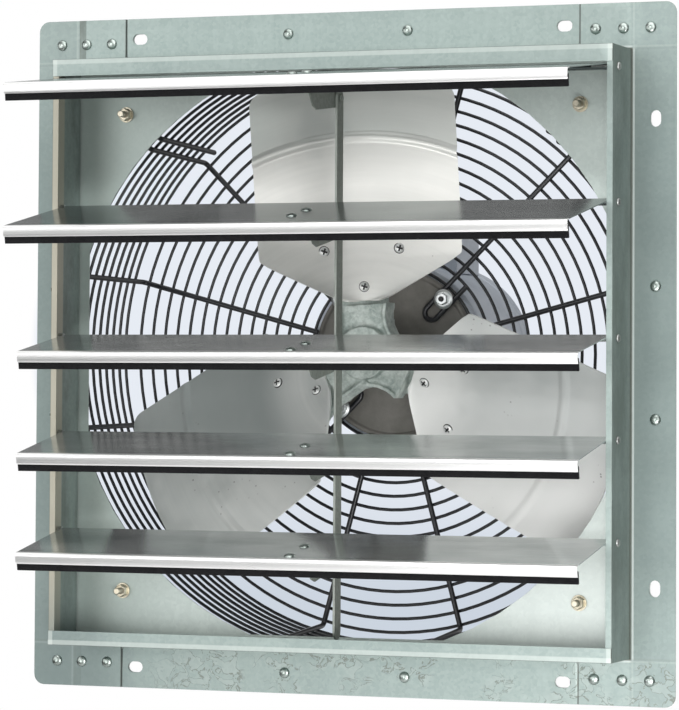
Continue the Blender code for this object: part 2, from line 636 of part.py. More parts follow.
def link_bracket(index):
    """The bracket riveted under a louvre: a foot along the blade and an ear that carries the tie bar's pin."""
    droop = math.radians(DROOP_DEGREES[index])
    arm_y = LINK_ARM_Y * math.cos(droop) + LINK_ARM_Z * math.sin(droop)
    arm_z = -LINK_ARM_Y * math.sin(droop) + LINK_ARM_Z * math.cos(droop)
    under = CURL_RADIUS - LOUVRE_SHEET / 2 - CLEARANCE
    below_curl = -CURL_RADIUS - LOUVRE_SHEET / 2 - 2 * CLEARANCE
    outline = [
        (-EAR_START, under),
        (-EAR_START, under - EAR_THICKNESS),
        (-EAR_BELLY_START, arm_z - EAR_EYE / 2),
        (-EAR_BELLY_START + EAR_EYE, arm_z - EAR_EYE),
    ]
    outline += arc((arm_y, arm_z), EAR_EYE, -90, 90, 6)
    outline += [
        (arm_y - EAR_EYE / 2, arm_z + EAR_EYE),
        (0.0, below_curl),
        (-EAR_END, below_curl),
        (-EAR_END, under),
    ]
    right = TIE_BAR_X - CLEARANCE
    left = right - EAR_THICKNESS
    ear = prism(outline, "X", left, right)
    foot = block((right - STRAP_WIDTH, -STRAP_START, under - EAR_THICKNESS), (right, -EAR_END, under))
    pin = cylinder("X", right - EAR_THICKNESS / 2, TIE_BAR_X + TIE_BAR_THICKNESS + CLEARANCE + LINK_HEAD_HEIGHT / 2,
                   (arm_y, arm_z), LINK_PIN_RADIUS, SMALL_SIDES)
    head_start = TIE_BAR_X + TIE_BAR_THICKNESS + CLEARANCE
    head = cylinder("X", head_start, head_start + LINK_HEAD_HEIGHT, (arm_y, arm_z), LINK_HEAD_RADIUS, SMALL_SIDES)
    obj = hinge(fuse(ear, foot, pin, head), index)
    return keep(rest_on_pivot(obj, index), f"link_bracket_{index + 1}", GALVANISED)


def pivot_pin(index, side, sign):
    """A pivot pin at a louvre's end: shank in the rolled edge, bush inside the frame wall, head outside it."""
    centre = (PIVOT_Y, PIVOT_HEIGHTS[index])
    inside = LOUVRE_HALF - PIN_IN_CURL
    outside = BOX_HALF + CLEARANCE
    spans = [
        (inside, outside + PIN_HEAD_HEIGHT / 2, PIN_RADIUS, None),
        (LOUVRE_HALF + CLEARANCE, BOX_HALF - SHEET - CLEARANCE, BUSH_RADIUS, None),
        (outside, outside + PIN_HEAD_HEIGHT, PIN_HEAD_RADIUS, PIN_HEAD_RADIUS / 2),
    ]
    shapes = []
    for start, end, radius, end_radius in spans:
        if sign > 0:
            shapes.append(cylinder("X", start, end, centre, radius, SMALL_SIDES, end_radius))
        elif end_radius is None:
            shapes.append(cylinder("X", -end, -start, centre, radius, SMALL_SIDES))
        else:
            shapes.append(cylinder("X", -end, -start, centre, end_radius, SMALL_SIDES, radius))
    obj = fuse(*shapes)
    return keep(rest_on_pivot(obj, index), f"pivot_pin_{side}_{index + 1}", BRIGHT_ZINC)


def tie_bar():
    """The flat bar that links the five louvres, standing edge on."""
    y = PIVOT_Y + LINK_ARM_Y
    top = PIVOT_HEIGHTS[0] + LINK_ARM_Z + TIE_BAR_ABOVE
    half = TIE_BAR_WIDTH / 2
    outline = rounded_rectangle(y - half, TIE_BAR_FOOT, y + half, top, half - CLEARANCE)
    bar = prism(outline, "X", TIE_BAR_X, TIE_BAR_X + TIE_BAR_THICKNESS)
    holes = [
        cylinder("X", TIE_BAR_X - OVERRUN, TIE_BAR_X + TIE_BAR_THICKNESS + OVERRUN, (y, z + LINK_ARM_Z),
                 LINK_PIN_RADIUS + PIN_CLEARANCE, SMALL_SIDES)
        for z in PIVOT_HEIGHTS
    ]
    cut(bar, *holes)
    link = Vector((0.0, y, PIVOT_HEIGHTS[0] + LINK_ARM_Z))
    bar.data.transform(Matrix.Translation(-link))
    bar.location = link
    return keep(bar, "tie_bar", GALVANISED)


def blade_pitch(radius):
    share = (radius - BLADE_SHOULDER) / (BLADE_TIP - BLADE_SHOULDER)
    share = min(1.0, max(0.0, share))
    return math.tan(math.radians(BLADE_PITCH_ROOT + (BLADE_PITCH_TIP - BLADE_PITCH_ROOT) * share))


def blade_half_width(radius):
    """Half the blade's width at a radius: a slanted root, long sides, and round corners between them."""
    share = (radius - BLADE_ROOT) / (BLADE_SHOULDER - BLADE_ROOT)
    slanted = BLADE_ROOT_HALF + (BLADE_SHOULDER_HALF - BLADE_ROOT_HALF) * share
    share = (radius - BLADE_SHOULDER) / (BLADE_TIP - BLADE_SHOULDER)
    side = BLADE_SHOULDER_HALF + (BLADE_TIP_HALF - BLADE_SHOULDER_HALF) * share
    half = (slanted + side - math.hypot(slanted - side, 2 * BLADE_SHOULDER_ROUND)) / 2
    for distance, corner in ((radius - BLADE_ROOT, BLADE_ROOT_ROUND), (BLADE_TIP - radius, BLADE_TIP_ROUND)):
        left = min(1.0, max(0.0, 1 - distance / corner))
        half -= corner * (1 - math.sqrt(1 - left * left))
    return half


def blade(number):
    """A pressed blade: paddle outline, twist from root to tip, slight camber and an arched stiffening bead."""
    span = BLADE_TIP - BLADE_ROOT
    rows = [BLADE_ROOT + BLADE_ROOT_ROUND * share for share in BLADE_ROUND_SHARES]
    rows += [BLADE_ROOT + span * share for share in BLADE_ROW_SHARES]
    rows += [BEAD_RADIUS - BEAD_HALF_WIDTH, BEAD_RADIUS, BEAD_RADIUS + BEAD_HALF_WIDTH]
    rows += [BLADE_TIP - BLADE_TIP_ROUND * share for share in BLADE_ROUND_SHARES[::-1]]
    work = bmesh.new()
    grid = []
    for row in rows:
        bow = min(1.0, max(0.0, (row - BLADE_SHOULDER) / (BLADE_SHOULDER_HALF)))
        line = []
        for column in range(BLADE_COLUMNS + 1):
            across = 2 * column / BLADE_COLUMNS - 1
            u = across * blade_half_width(row)
            radial = row - bow * (row - math.sqrt(row * row - u * u)) if row > abs(u) else row
            depth = u * blade_pitch(row) + BLADE_CAMBER * (1 - across * across)
            if row == BEAD_RADIUS:
                depth -= BEAD_HEIGHT
            line.append(work.verts.new((u, ROTOR_Y + depth, radial)))
        grid.append(line)
    for lower, upper in zip(grid, grid[1:]):
        for column in range(BLADE_COLUMNS):
            work.faces.new((lower[column], lower[column + 1], upper[column + 1], upper[column]))
    obj = from_bmesh(work, "blade")
    solid = obj.modifiers.new("Sheet", "SOLIDIFY")
    solid.thickness = BLADE_SHEET
    solid.offset = 0.0
    apply_modifiers(obj)
    face_out(obj)
    turn_rotor_piece(obj, number)
    return keep(obj, f"blade_{number + 1}", BLADE_METAL)


def turn_rotor_piece(obj, number):
    """Turns a piece drawn pointing up to the place of blade number."""
    angle = ROTOR_ANGLE - 90 + number * 360 / BLADE_COUNT
    obj.data.transform(Matrix.Rotation(math.radians(-angle), 4, "Y"))
    return obj


def spider_arm(number):
    """One arm of the hub, pitched like the blade's root, with a raised rim along its two edges."""
    half = [(ARM_NECK_HALF, HUB_RADIUS / 2), (ARM_NECK_HALF, ARM_NECK_AT), (ARM_PAD_HALF, ARM_PAD_AT),
            (ARM_PAD_HALF, ARM_END)]
    outline = half + [(-u, r) for u, r in half[::-1]]
    behind_blade = BLADE_SHEET / 2 + BLADE_CAMBER + CLEARANCE
    plate = prism(outline, "Y", behind_blade, behind_blade + ARM_THICKNESS)
    rims = []
    for sign in (-1, 1):
        xs = sorted((sign * ARM_NECK_HALF, sign * (ARM_NECK_HALF - ARM_RIM_WIDTH)))
        rims.append(block((xs[0], behind_blade - ARM_RIM_HEIGHT, HUB_RADIUS / 2),
                          (xs[1], behind_blade + ARM_THICKNESS / 2, BLADE_ROOT - ARM_RIM_WIDTH)))
    arm = fuse(plate, *rims)
    arm.data.transform(Matrix.Rotation(math.radians(BLADE_PITCH_ROOT), 4, "Z"))
    arm.data.transform(Matrix.Translation((0.0, ROTOR_Y, 0.0)))
    return turn_rotor_piece(arm, number)


def web_outline(inset):
    """The three-lobed web: its sides are round hollows that run from arm to arm, moved inwards by inset."""
    lobe = BLADE_ROOT - ARM_RIM_WIDTH
    corner = math.hypot(lobe, ARM_NECK_HALF)
    step = math.radians(180 / BLADE_COUNT)
    beside = step - math.atan2(ARM_NECK_HALF, lobe)
    reach = (corner ** 2 - WEB_WAIST ** 2) / (2 * (corner * math.cos(beside) - WEB_WAIST))
    hollow = reach - WEB_WAIST + inset
    spread = math.degrees(math.atan2(corner * math.sin(beside), reach - corner * math.cos(beside)))
    outline = []
    for number in range(BLADE_COUNT):
        turn = ROTOR_ANGLE + (number + 0.5) * 360 / BLADE_COUNT
        centre = (reach * math.cos(math.radians(turn)), reach * math.sin(math.radians(turn)))
        outline += arc(centre, hollow, turn + 180 + spread, turn + 180 - spread, WEB_STEPS)
    return outline


def hub_spider():
    """The cast hub: boss, three-lobed web with a shallow pocket in its front, and three blade arms."""
    hub = prism(web_outline(0.0), "Y", WEB_FRONT, WEB_BACK)
    cut(hub, prism(web_outline(ARM_RIM_WIDTH), "Y", WEB_FRONT - OVERRUN, WEB_FRONT + WEB_POCKET))
    boss = cylinder("Y", HUB_FRONT, HUB_BACK, (0.0, 0.0), HUB_RADIUS, ROUND_SIDES)
    fuse(hub, boss, *[spider_arm(number) for number in range(BLADE_COUNT)])
    bore = cylinder("Y", HUB_FRONT - OVERRUN, HUB_BACK + OVERRUN, (0.0, 0.0), SHAFT_RADIUS + CLEARANCE, ROUND_SIDES)
    return keep(cut(hub, bore), "hub_spider", CAST_METAL)


BEARING_FRONT = MOTOR_FACE - BEARING_PROUD


def rotor_shaft():
    shaft = cylinder("Y", SHAFT_FRONT, MOTOR_FACE + BELL_DEPTH / 2, (0.0, 0.0), SHAFT_RADIUS, ROUND_SIDES)
    return keep(shaft, "rotor_shaft", STEEL)


def motor_front_bell():
    """The motor's front end bell with its raised rim, bearing boss and shaft bore."""
    bore = SHAFT_RADIUS + CLEARANCE
    inner = BELL_RADIUS - BELL_RIM
    profile = [
        (bore, BEARING_FRONT),
        (BEARING_RADIUS - BELL_RECESS, BEARING_FRONT),
        (BEARING_RADIUS, BEARING_FRONT + BELL_RECESS),
        (BEARING_RADIUS, MOTOR_FACE),
        (inner, MOTOR_FACE),
        (BELL_RADIUS, MOTOR_FACE + BELL_RECESS),
        (BELL_RADIUS, MOTOR_FACE + BELL_DEPTH),
        (bore, MOTOR_FACE + BELL_DEPTH),
    ]
    return keep(turned(profile, FINE_SIDES), "motor_front_bell", MOTOR_PAINT)


def motor_shell():
    shell = cylinder("Y", SHELL_START, SHELL_END, (0.0, 0.0), SHELL_RADIUS, FINE_SIDES)
    bore = cylinder("Y", SHELL_START - OVERRUN, SHELL_END + OVERRUN, (0.0, 0.0), STATOR_BORE, ROUND_SIDES)
    return keep(cut(shell, bore), "motor_shell", MOTOR_PAINT)


def motor_rear_bell():
    """The domed rear end bell with its bearing boss."""
    start = SHELL_END + CLEARANCE
    end = start + REAR_BELL_DEPTH
    profile = [(0.0, start), (SHELL_RADIUS, start), (SHELL_RADIUS, start + REAR_BELL_DEPTH / 3)]
    profile += [(REAR_BELL_SMALL, end), (REAR_BOSS_RADIUS, end), (REAR_BOSS_RADIUS, end + REAR_BOSS_HEIGHT),
                (0.0, end + REAR_BOSS_HEIGHT)]
    return keep(turned(profile, FINE_SIDES), "motor_rear_bell", MOTOR_PAINT)


def terminal_box():
    """The wiring box on top of the motor shell."""
    outline = rounded_rectangle(-TERMINAL_HALF, SHELL_RADIUS - TERMINAL_SINK, TERMINAL_HALF, TERMINAL_TOP,
                                BELL_RIM, 3)
    box = prism(outline, "Y", TERMINAL_FRONT, TERMINAL_BACK)
    seat = cylinder("Y", TERMINAL_FRONT - OVERRUN, TERMINAL_BACK + OVERRUN, (0.0, 0.0),
                    SHELL_RADIUS + CLEARANCE, FINE_SIDES)
    return keep(cut(box, seat), "terminal_box", MOTOR_PAINT)


def motor_studs():
    """The four studs and flange nuts that clamp the guard's hairpins to the motor's face."""
    wire_front = SPOKE_FACE_Y - SPOKE_RADIUS - CLEARANCE
    for number, (x, z) in enumerate(corner_places(MOTOR_BOLT_CIRCLE / math.sqrt(2))):
        rim_front = wire_front - FLANGE_NUT_RIM
        nut_front = rim_front - NUT_HEIGHT
        stud = cylinder("Y", nut_front - STUD_PROUD, MOTOR_FACE - CLEARANCE, (x, z), STUD_RADIUS, SMALL_SIDES)
        rim = cylinder("Y", rim_front, wire_front, (x, z), FLANGE_NUT_RADIUS, ROUND_SIDES)
        nut = cylinder("Y", nut_front, wire_front - FLANGE_NUT_RIM / 2, (x, z), NUT_RADIUS, HEX_SIDES)
        keep(fuse(rim, nut, stud), f"motor_stud_nut_{number + 1}", BRIGHT_ZINC)


def guard_bolts():
    """The four bolts at the panel's corners, each with a head and clamp washer behind and a nut and washer in front."""
    wire_back = FOOT_Y + SPOKE_RADIUS + CLEARANCE
    for number, (x, z) in enumerate(corner_places(GUARD_BOLT_OFFSET)):
        shank = cylinder("Y", BOLT_TIP, wire_back + CLAMP_WASHER / 2, (x, z), GUARD_BOLT_RADIUS, SMALL_SIDES)
        washer = cylinder("Y", wire_back, wire_back + CLAMP_WASHER, (x, z), CLAMP_WASHER_RADIUS, ROUND_SIDES)
        head = cylinder("Y", wire_back + CLAMP_WASHER / 2, wire_back + CLAMP_WASHER + BOLT_HEAD_HEIGHT, (x, z),
                        NUT_RADIUS, HEX_SIDES)
        keep(fuse(shank, washer, head), f"guard_bolt_{number + 1}", YELLOW_ZINC)
        seat = PANEL_FRONT - CLEARANCE
        ring = cylinder("Y", seat - CLAMP_WASHER, seat, (x, z), WASHER_RADIUS, ROUND_SIDES)
        nut = cylinder("Y", seat - CLAMP_WASHER - NUT_HEIGHT, seat - CLAMP_WASHER / 2, (x, z), NUT_RADIUS, HEX_SIDES)
        bore = cylinder("Y", seat - CLAMP_WASHER - NUT_HEIGHT - OVERRUN, seat + OVERRUN, (x, z),
                        GUARD_BOLT_RADIUS + CLEARANCE, SMALL_SIDES)
        keep(cut(fuse(ring, nut), bore), f"guard_nut_{number + 1}", YELLOW_ZINC)


def ring(radius, y, point_at):
    """A ring of three-sided wire round the fan's axis, one edge of its section at the angle point_at."""
    angles = [math.radians(point_at + 360 * corner / RING_PROFILE) for corner in range(RING_PROFILE)]
    profile = [(radius + RING_RADIUS * math.cos(a), y + RING_RADIUS * math.sin(a)) for a in angles]
    sides = max(SMALL_SIDES, math.ceil(math.pi / math.acos(1 - RING_SAG / radius)))
    return turned(profile, sides)


def guard_rings():
    """Every ring of the guard in one mesh: those of the side wall, then those of the face."""
    wall_step = (GUARD_LAST_RING - GUARD_FIRST_RING) / (WALL_RINGS - 1)
    over_spoke = SPOKE_RADIUS + RING_RADIUS - WELD_SINK
    heights = [GUARD_FIRST_RING + wall_step * i for i in range(WALL_RINGS)]
    rings = [ring(guard_wall_radius(y) + over_spoke, y, 180) for y in heights]
    face_step = (FACE_OUTER - FACE_INNER) / (FACE_RINGS - 1)
    rings += [ring(FACE_INNER + face_step * i, SPOKE_FACE_Y + over_spoke, 270) for i in range(FACE_RINGS)]
    return gather(rings)


def wire(points, radius=SPOKE_RADIUS):
    """A wire along points, four-sided in section with a flat side towards the rings, as a mesh."""
    data = bpy.data.curves.new("wire", "CURVE")
    data.dimensions = "3D"
    data.bevel_depth = radius
    data.bevel_resolution = 0
    data.use_fill_caps = True
    spline = data.splines.new("POLY")
    spline.points.add(len(points) - 1)
    for spot, place in zip(spline.points, points):
        spot.co = (*place, 1.0)
        spot.tilt = math.radians(45)
    return curve_to_mesh(data)


def gather(shapes):
    """Puts several separate shapes into the first one's mesh."""
    first = shapes[0]
    work = bmesh.new()
    for shape in shapes:
        work.from_mesh(shape.data)
    work.to_mesh(first.data)
    work.free()
    for shape in shapes[1:]:
        bpy.data.objects.remove(shape, do_unlink=True)
    return first


def guard_wall_radius(y):
    """Distance of a spoke's middle from the axis, on the wall that leans in from the first ring to the bend."""
    share = (y - GUARD_FIRST_RING) / (GUARD_BEND_Y - GUARD_FIRST_RING)
    return GUARD_RADIUS - RING_RADIUS - SPOKE_RADIUS + WELD_SINK - GUARD_TAPER * share


def spoke_corner(sideways):
    """The bend of a spoke from the side wall to the face, in (sideways, radius, y)."""
    bend = arc((guard_wall_radius(GUARD_BEND_Y) - SPOKE_BEND, GUARD_BEND_Y), SPOKE_BEND, 0, 90, 3)
    return [(sideways, radius, y) for radius, y in bend]


def plain_spoke():
    """A wire from the first wall ring, round the bend and in to the innermost ring."""
    path = [(0.0, guard_wall_radius(SPOKE_WALL_START), SPOKE_WALL_START)]
    return path + spoke_corner(0.0) + [(0.0, SPOKE_INNER_END, SPOKE_FACE_Y)]


def bolted_spoke():
    """One wire with a foot round the panel's corner bolt and a hairpin round the motor's stud."""
    side = HAIRPIN_HALF
    bolt_at = GUARD_BOLT_OFFSET * math.sqrt(2)
    stay = guard_wall_radius(FOOT_Y + SPOKE_BEND)
    path = [(-side, guard_wall_radius(SHORT_LEG_TOP), SHORT_LEG_TOP)]
    path += [(-side, stay, FOOT_Y + SPOKE_BEND), (-side, stay + SPOKE_BEND, FOOT_Y)]
    path += [(-side * math.cos(math.radians(a)), bolt_at + side * math.sin(math.radians(a)), FOOT_Y)
             for a in range(0, 181, 36)]
    path += [(side, stay + SPOKE_BEND, FOOT_Y), (side, stay, FOOT_Y + SPOKE_BEND)]
    path += spoke_corner(side)
    turn_at = HAIRPIN_END + side
    path += [(side * math.cos(math.radians(a)), turn_at - side * math.sin(math.radians(a)), SPOKE_FACE_Y)
             for a in range(0, 181, 36)]
    path += [(-side, RETURN_LEG_END, SPOKE_FACE_Y)]
    return path


def wire_guard():
    """The welded basket: rings outside, twelve spokes inside, four of them bolted at both ends."""
    spokes = []
    for number in range(round(360 / SPOKE_STEP_ANGLE)):
        angle = FIRST_SPOKE_ANGLE + number * SPOKE_STEP_ANGLE
        turn = math.radians(angle)
        path = bolted_spoke() if round(angle) % 90 == 45 else plain_spoke()
        spokes.append(wire([
            (r * math.cos(turn) - s * math.sin(turn), y, r * math.sin(turn) + s * math.cos(turn))
            for s, r, y in path
        ]))
    return keep(fuse(guard_rings(), gather(spokes)), "wire_guard", BLACK_WIRE)


def shade(obj):
    obj.data.shade_smooth()
    obj.data.set_sharp_from_angle(angle=math.radians(30))


def main():
    frame_side("frame_side_left", -1)
    frame_side("frame_side_right", 1)
    frame_rail("frame_rail_top", 1, TOP_FACE)
    frame_rail("frame_rail_bottom", -1, BOTTOM_FACE)
    orifice_panel()
    for index in range(len(PIVOT_HEIGHTS)):
        louvre(index)
        felt_seal(index)
        link_bracket(index)
        pivot_pin(index, "left", -1)
        pivot_pin(index, "right", 1)
    tie_bar()
    for number in range(BLADE_COUNT):
        blade(number)
    hub_spider()
    rotor_shaft()
    motor_front_bell()
    motor_shell()
    motor_rear_bell()
    terminal_box()
    motor_studs()
    guard_bolts()
    wire_guard()
    for obj in PARTS.objects:
        shade(obj)


main()
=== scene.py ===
import math

import bpy
from mathutils import Matrix, Vector


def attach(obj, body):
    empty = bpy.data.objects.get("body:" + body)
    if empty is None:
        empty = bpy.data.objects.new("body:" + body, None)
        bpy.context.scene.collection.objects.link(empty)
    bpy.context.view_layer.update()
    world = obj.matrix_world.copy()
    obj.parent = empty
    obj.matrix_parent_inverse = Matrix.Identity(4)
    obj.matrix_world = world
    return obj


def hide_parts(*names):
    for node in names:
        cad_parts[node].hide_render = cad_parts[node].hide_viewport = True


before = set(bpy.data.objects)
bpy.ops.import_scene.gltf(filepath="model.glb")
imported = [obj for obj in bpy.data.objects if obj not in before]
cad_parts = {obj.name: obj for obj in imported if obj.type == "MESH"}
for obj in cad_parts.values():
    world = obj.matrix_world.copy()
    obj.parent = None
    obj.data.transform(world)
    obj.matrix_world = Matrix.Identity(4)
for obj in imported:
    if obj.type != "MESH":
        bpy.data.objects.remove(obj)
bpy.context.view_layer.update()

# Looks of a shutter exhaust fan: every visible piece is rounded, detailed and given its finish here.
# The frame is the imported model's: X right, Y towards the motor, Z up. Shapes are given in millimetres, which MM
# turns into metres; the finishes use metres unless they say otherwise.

MM = 0.001
MERGE = 0.002 * MM          # points closer than this are one


# ---------------------------------------------------------------- shader building

class Value:
    """One output socket that can stand in a sum."""

    def __init__(self, tree, socket):
        self.tree, self.socket = tree, socket

    def math(self, operation, other=None):
        sockets = {0: self} if other is None else {0: self, 1: other}
        return self.tree.node("ShaderNodeMath", {"operation": operation}, sockets)

    def __add__(self, other):
        return self.math("ADD", other)

    __radd__ = __add__

    def __mul__(self, other):
        return self.math("MULTIPLY", other)

    def __sub__(self, other):
        return self.math("SUBTRACT", other)

    def __pow__(self, other):
        return self.math("POWER", other)

    def __abs__(self):
        return self.math("ABSOLUTE")

    def clamp(self):
        return self.tree.node("ShaderNodeClamp", {}, {"Value": self})

    def highest(self, other):
        return self.math("MAXIMUM", other)

    def smooth(self, low, high):
        """0 below low, 1 above high, eased between."""
        return self.tree.node("ShaderNodeMapRange", {"interpolation_type": "SMOOTHSTEP"},
                              {"Value": self, "From Min": low, "From Max": high})

    def within(self, low, high, soft):
        """1 between low and high, fading out over soft on either side."""
        return self.smooth(low - soft, low) * self.smooth(high + soft, high)


class Tree:
    """A node tree that grows by one method."""

    def __init__(self, node_tree):
        self.nodes, self.links = node_tree.nodes, node_tree.links

    def node(self, kind, settings=None, sockets=None, out=0):
        """Adds a node: its settings first, then the values or links of its sockets."""
        made = self.nodes.new(kind)
        for name, value in (settings or {}).items():
            setattr(made, name, value)
        for name, value in (sockets or {}).items():
            self.feed(made.inputs[name], value)
        return Value(self, made.outputs[out])

    def feed(self, socket, value):
        """Links a Value to a socket, or sets its number or colour."""
        if isinstance(value, Value):
            self.links.new(value.socket, socket)
        elif socket.type == "RGBA" and len(value) == 3:
            socket.default_value = (*value, 1.0)
        else:
            socket.default_value = value

    def spot(self, scale=(1.0, 1.0, 1.0), turn=(0.0, 0.0, 0.0), move=(0.0, 0.0, 0.0)):
        """Object coordinates, stretched, turned and moved."""
        place = self.node("ShaderNodeTexCoord", out=3)
        return self.node("ShaderNodeMapping", {}, {"Vector": place, "Scale": scale, "Rotation": turn, "Location": move})

    def axis(self, letter):
        """One of the Object coordinates, in metres."""
        place = self.node("ShaderNodeTexCoord", out=3)
        return self.node("ShaderNodeSeparateXYZ", {}, {"Vector": place}, out="XYZ".index(letter))

    def noise(self, scale, detail=3.0, rough=0.55, place=None, distortion=0.0):
        """Cloudy noise from 0 to 1."""
        return self.node("ShaderNodeTexNoise", {}, {
            "Vector": place or self.spot(), "Scale": scale, "Detail": detail, "Roughness": rough,
            "Distortion": distortion,
        })

    def cells(self, scale, place=None, out="Distance"):
        """Distance to the nearest of scattered points, or that point's random colour."""
        return self.node("ShaderNodeTexVoronoi", {}, {"Vector": place or self.spot(), "Scale": scale}, out=out)

    def blend(self, share, first, second):
        """Mixes two colours; share may be a number or a Value."""
        made = self.nodes.new("ShaderNodeMix")
        made.data_type = "RGBA"
        for index, value in ((0, share), (6, first), (7, second)):
            self.feed(made.inputs[index], value)
        return Value(self, made.outputs[2])

    def lobe(self, look, direction, inner, outer, level):
        """A soft round patch of light on the surround."""
        facing = self.node("ShaderNodeVectorMath", {"operation": "DOT_PRODUCT"},
                           {0: look, 1: Vector(direction).normalized()}, out="Value")
        return facing.smooth(math.cos(math.radians(outer)), math.cos(math.radians(inner))) * level

    def bump(self, height, distance, strength=1.0):
        """A normal roughened by height; distance in metres."""
        return self.node("ShaderNodeBump", {}, {"Height": height, "Distance": distance, "Strength": strength})


class Finish(Tree):
    """A material with one Principled shader; fixed numbers go straight onto its sockets."""

    def __init__(self, name, **fixed):
        self.material = bpy.data.materials.new(name)
        self.material.use_nodes = True
        super().__init__(self.material.node_tree)
        self.shader = self.nodes["Principled BSDF"]
        self.put(**fixed)

    def put(self, **sockets):
        """Sets or links the shader's sockets, with _ for the spaces in their names."""
        for name, value in sockets.items():
            self.feed(self.shader.inputs[name.replace("_", " ")], value)
        return self


# ---------------------------------------------------------------- finishes

# colours of painted shade, on the zinc frame and on the blades
PAINTED_SHADE_ZINC = (0.14, 0.18, 0.175)
PAINTED_SHADE_ALUMINIUM = (0.36, 0.40, 0.395)


def galvanised(name, light, dark, streaks=1.0):
    """Zinc-coated sheet: soft clouds, a fine spangle, faint streaks and a few scratches."""
    m = Finish(name, Metallic=0.45, Specular_IOR_Level=0.5)
    clouds = m.noise(4.0, 4.0, 0.55)
    spangle = m.node("ShaderNodeSeparateColor", {}, {"Color": m.cells(330.0, out="Color")})
    grain = m.noise(420.0, 2.0, 0.6)
    upright = m.noise(1.0, 4.0, 0.6, m.spot((70.0, 30.0, 3.0)))
    level = m.noise(1.0, 4.0, 0.6, m.spot((2.5, 30.0, 110.0)))
    tone = clouds * 0.5 + upright * (0.2 * streaks) + level * (0.12 * streaks) + spangle * 0.1 + grain * 0.08
    color = m.blend(tone.smooth(0.3, 0.7), dark, light)
    scratch = m.noise(1.0, 6.0, 0.7, m.spot((900.0, 8.0, 7.0), (0.0, 0.25, 0.0))).smooth(0.66, 0.74)
    scratch = scratch * m.noise(11.0, 2.0).smooth(0.5, 0.66)
    color = m.blend(scratch * 0.3, color, (0.74, 0.78, 0.76))
    m.put(Normal=m.bump(clouds * 0.8 + grain * 0.02, 0.0010, 0.5), Roughness=clouds * 0.12 + 0.40 + grain * 0.05)
    return m, color


def weathered_and_shaded_frame(light, dark):
    """The folded frame: painted shade and highlights at its folds, edges and sides, tan in the left wall, stains low on
    the flange.
    """
    m, color = galvanised("galvanised frame", light, dark)
    x, y, z = (m.axis(letter) * 1000.0 for letter in "XYZ")     # in millimetres
    mottle = m.noise(26.0, 5.0, 0.65, m.spot((1.0, 1.0, 0.5)))
    # sides of the box: painted shade outside the right wall; inside the left wall, tan in front and painted shade
    # behind
    right_wall = x.smooth(259.4, 259.8) * x.smooth(260.8, 260.4) * y.smooth(-1.0, -2.0)
    color = m.blend(right_wall * (mottle.smooth(0.3, 0.7) * 0.5 + 0.15), color, (0.14, 0.175, 0.145))
    left_wall = x.within(-259.9, -253.5, 0.2)
    front = y.smooth(-31.0, -34.0) * y.smooth(-55.4, -54.8)
    color = m.blend(left_wall * front * 0.8, color, (0.46, 0.42, 0.33))
    rear = y.smooth(-34.0, -31.0) * (mottle.smooth(0.35, 0.65) * 0.4 + 0.25)
    color = m.blend(left_wall * rear, color, (0.085, 0.095, 0.08))
    # painted shade: the side sheets darker halfway up than at their tabs, and the flange darker at its lower left
    wide, tall = abs(x), abs(z)
    painted_shade = wide.smooth(259.0, 264.0) * (tall.smooth(290.0, 120.0) * 0.38 + 0.24)
    color = m.blend(painted_shade, color, PAINTED_SHADE_ZINC)
    low_left = z.smooth(-262.0, -268.0) * x.smooth(80.0, -80.0)
    color = m.blend(low_left * 0.14, color, PAINTED_SHADE_ZINC)
    corner = x.smooth(-170.0, -250.0) * z.smooth(-180.0, -270.0)
    color = m.blend(corner * 0.65, color, PAINTED_SHADE_ZINC)
    # at |x| or |z| = 260: painted shade in the flange's fold and on the box's front edge, painted highlights on the
    # bend beside the fold and on the rim
    for far, near in ((wide, tall), (tall, wide)):
        short = near.smooth(262.0, 259.0) * 0.85 + 0.15
        fold = far.within(259.4, 261.0, 0.5) * y.smooth(-4.5, -1.6) * short
        bright = far.within(261.6, 262.6, 0.7) * y.smooth(-1.2, -0.6) * short
        edge = far.smooth(259.5, 259.9) * y.smooth(-54.2, -55.0)
        rim = far.within(256.0, 259.2, 0.8) * y.smooth(-55.4, -55.9)
        color = m.blend(fold * 0.75, color, (0.10, 0.105, 0.085))
        color = m.blend(edge * 0.8, color, (0.07, 0.075, 0.065))
        color = m.blend(bright * 0.5, color, (0.78, 0.83, 0.80))
        color = m.blend(rim * 0.35, color, (0.74, 0.79, 0.75))
    # painted shadow and dirt where the tabs of the side sheets end on the rails, at |x| = 214
    seam = wide.within(213.1, 214.4, 0.4) * tall.smooth(260.0, 262.0) * y.smooth(-4.0, -2.0)
    color = m.blend(seam * 0.8, color, (0.09, 0.10, 0.09))
    # water stains: thin dark outlines round paler patches
    place = z.smooth(-258.0, -268.0) * x.smooth(-230.0, -120.0)
    swirl = m.noise(62.0, 4.0, 0.5, m.spot((1.0, 1.0, 1.2)), distortion=1.2)
    where = m.noise(23.0, 3.0, 0.5, m.spot(move=(0.42, 0.1, 0.3))).smooth(0.44, 0.52) * place
    outline = abs(swirl - 0.52).smooth(0.022, 0.006) * where
    color = m.blend(swirl.smooth(0.52, 0.56) * where * 0.1, color, (0.66, 0.69, 0.655))
    color = m.blend(outline * 0.6, color, (0.13, 0.13, 0.10))
    m.put(Base_Color=color)
    return m.material


def linkage_sheet(light, dark):
    """The tie bar and brackets: darker zinc, with a painted highlight along the bar's front edge."""
    m, color = galvanised("galvanised linkage", light, dark)
    # painted highlight along the bar's front edge
    edge = m.axis("X").within(0.0002, 0.0025, 0.0002) * m.axis("Y").smooth(-0.0292, -0.0298)
    color = m.blend(edge * 0.3, color, (0.66, 0.70, 0.66))
    return m.put(Base_Color=color).material


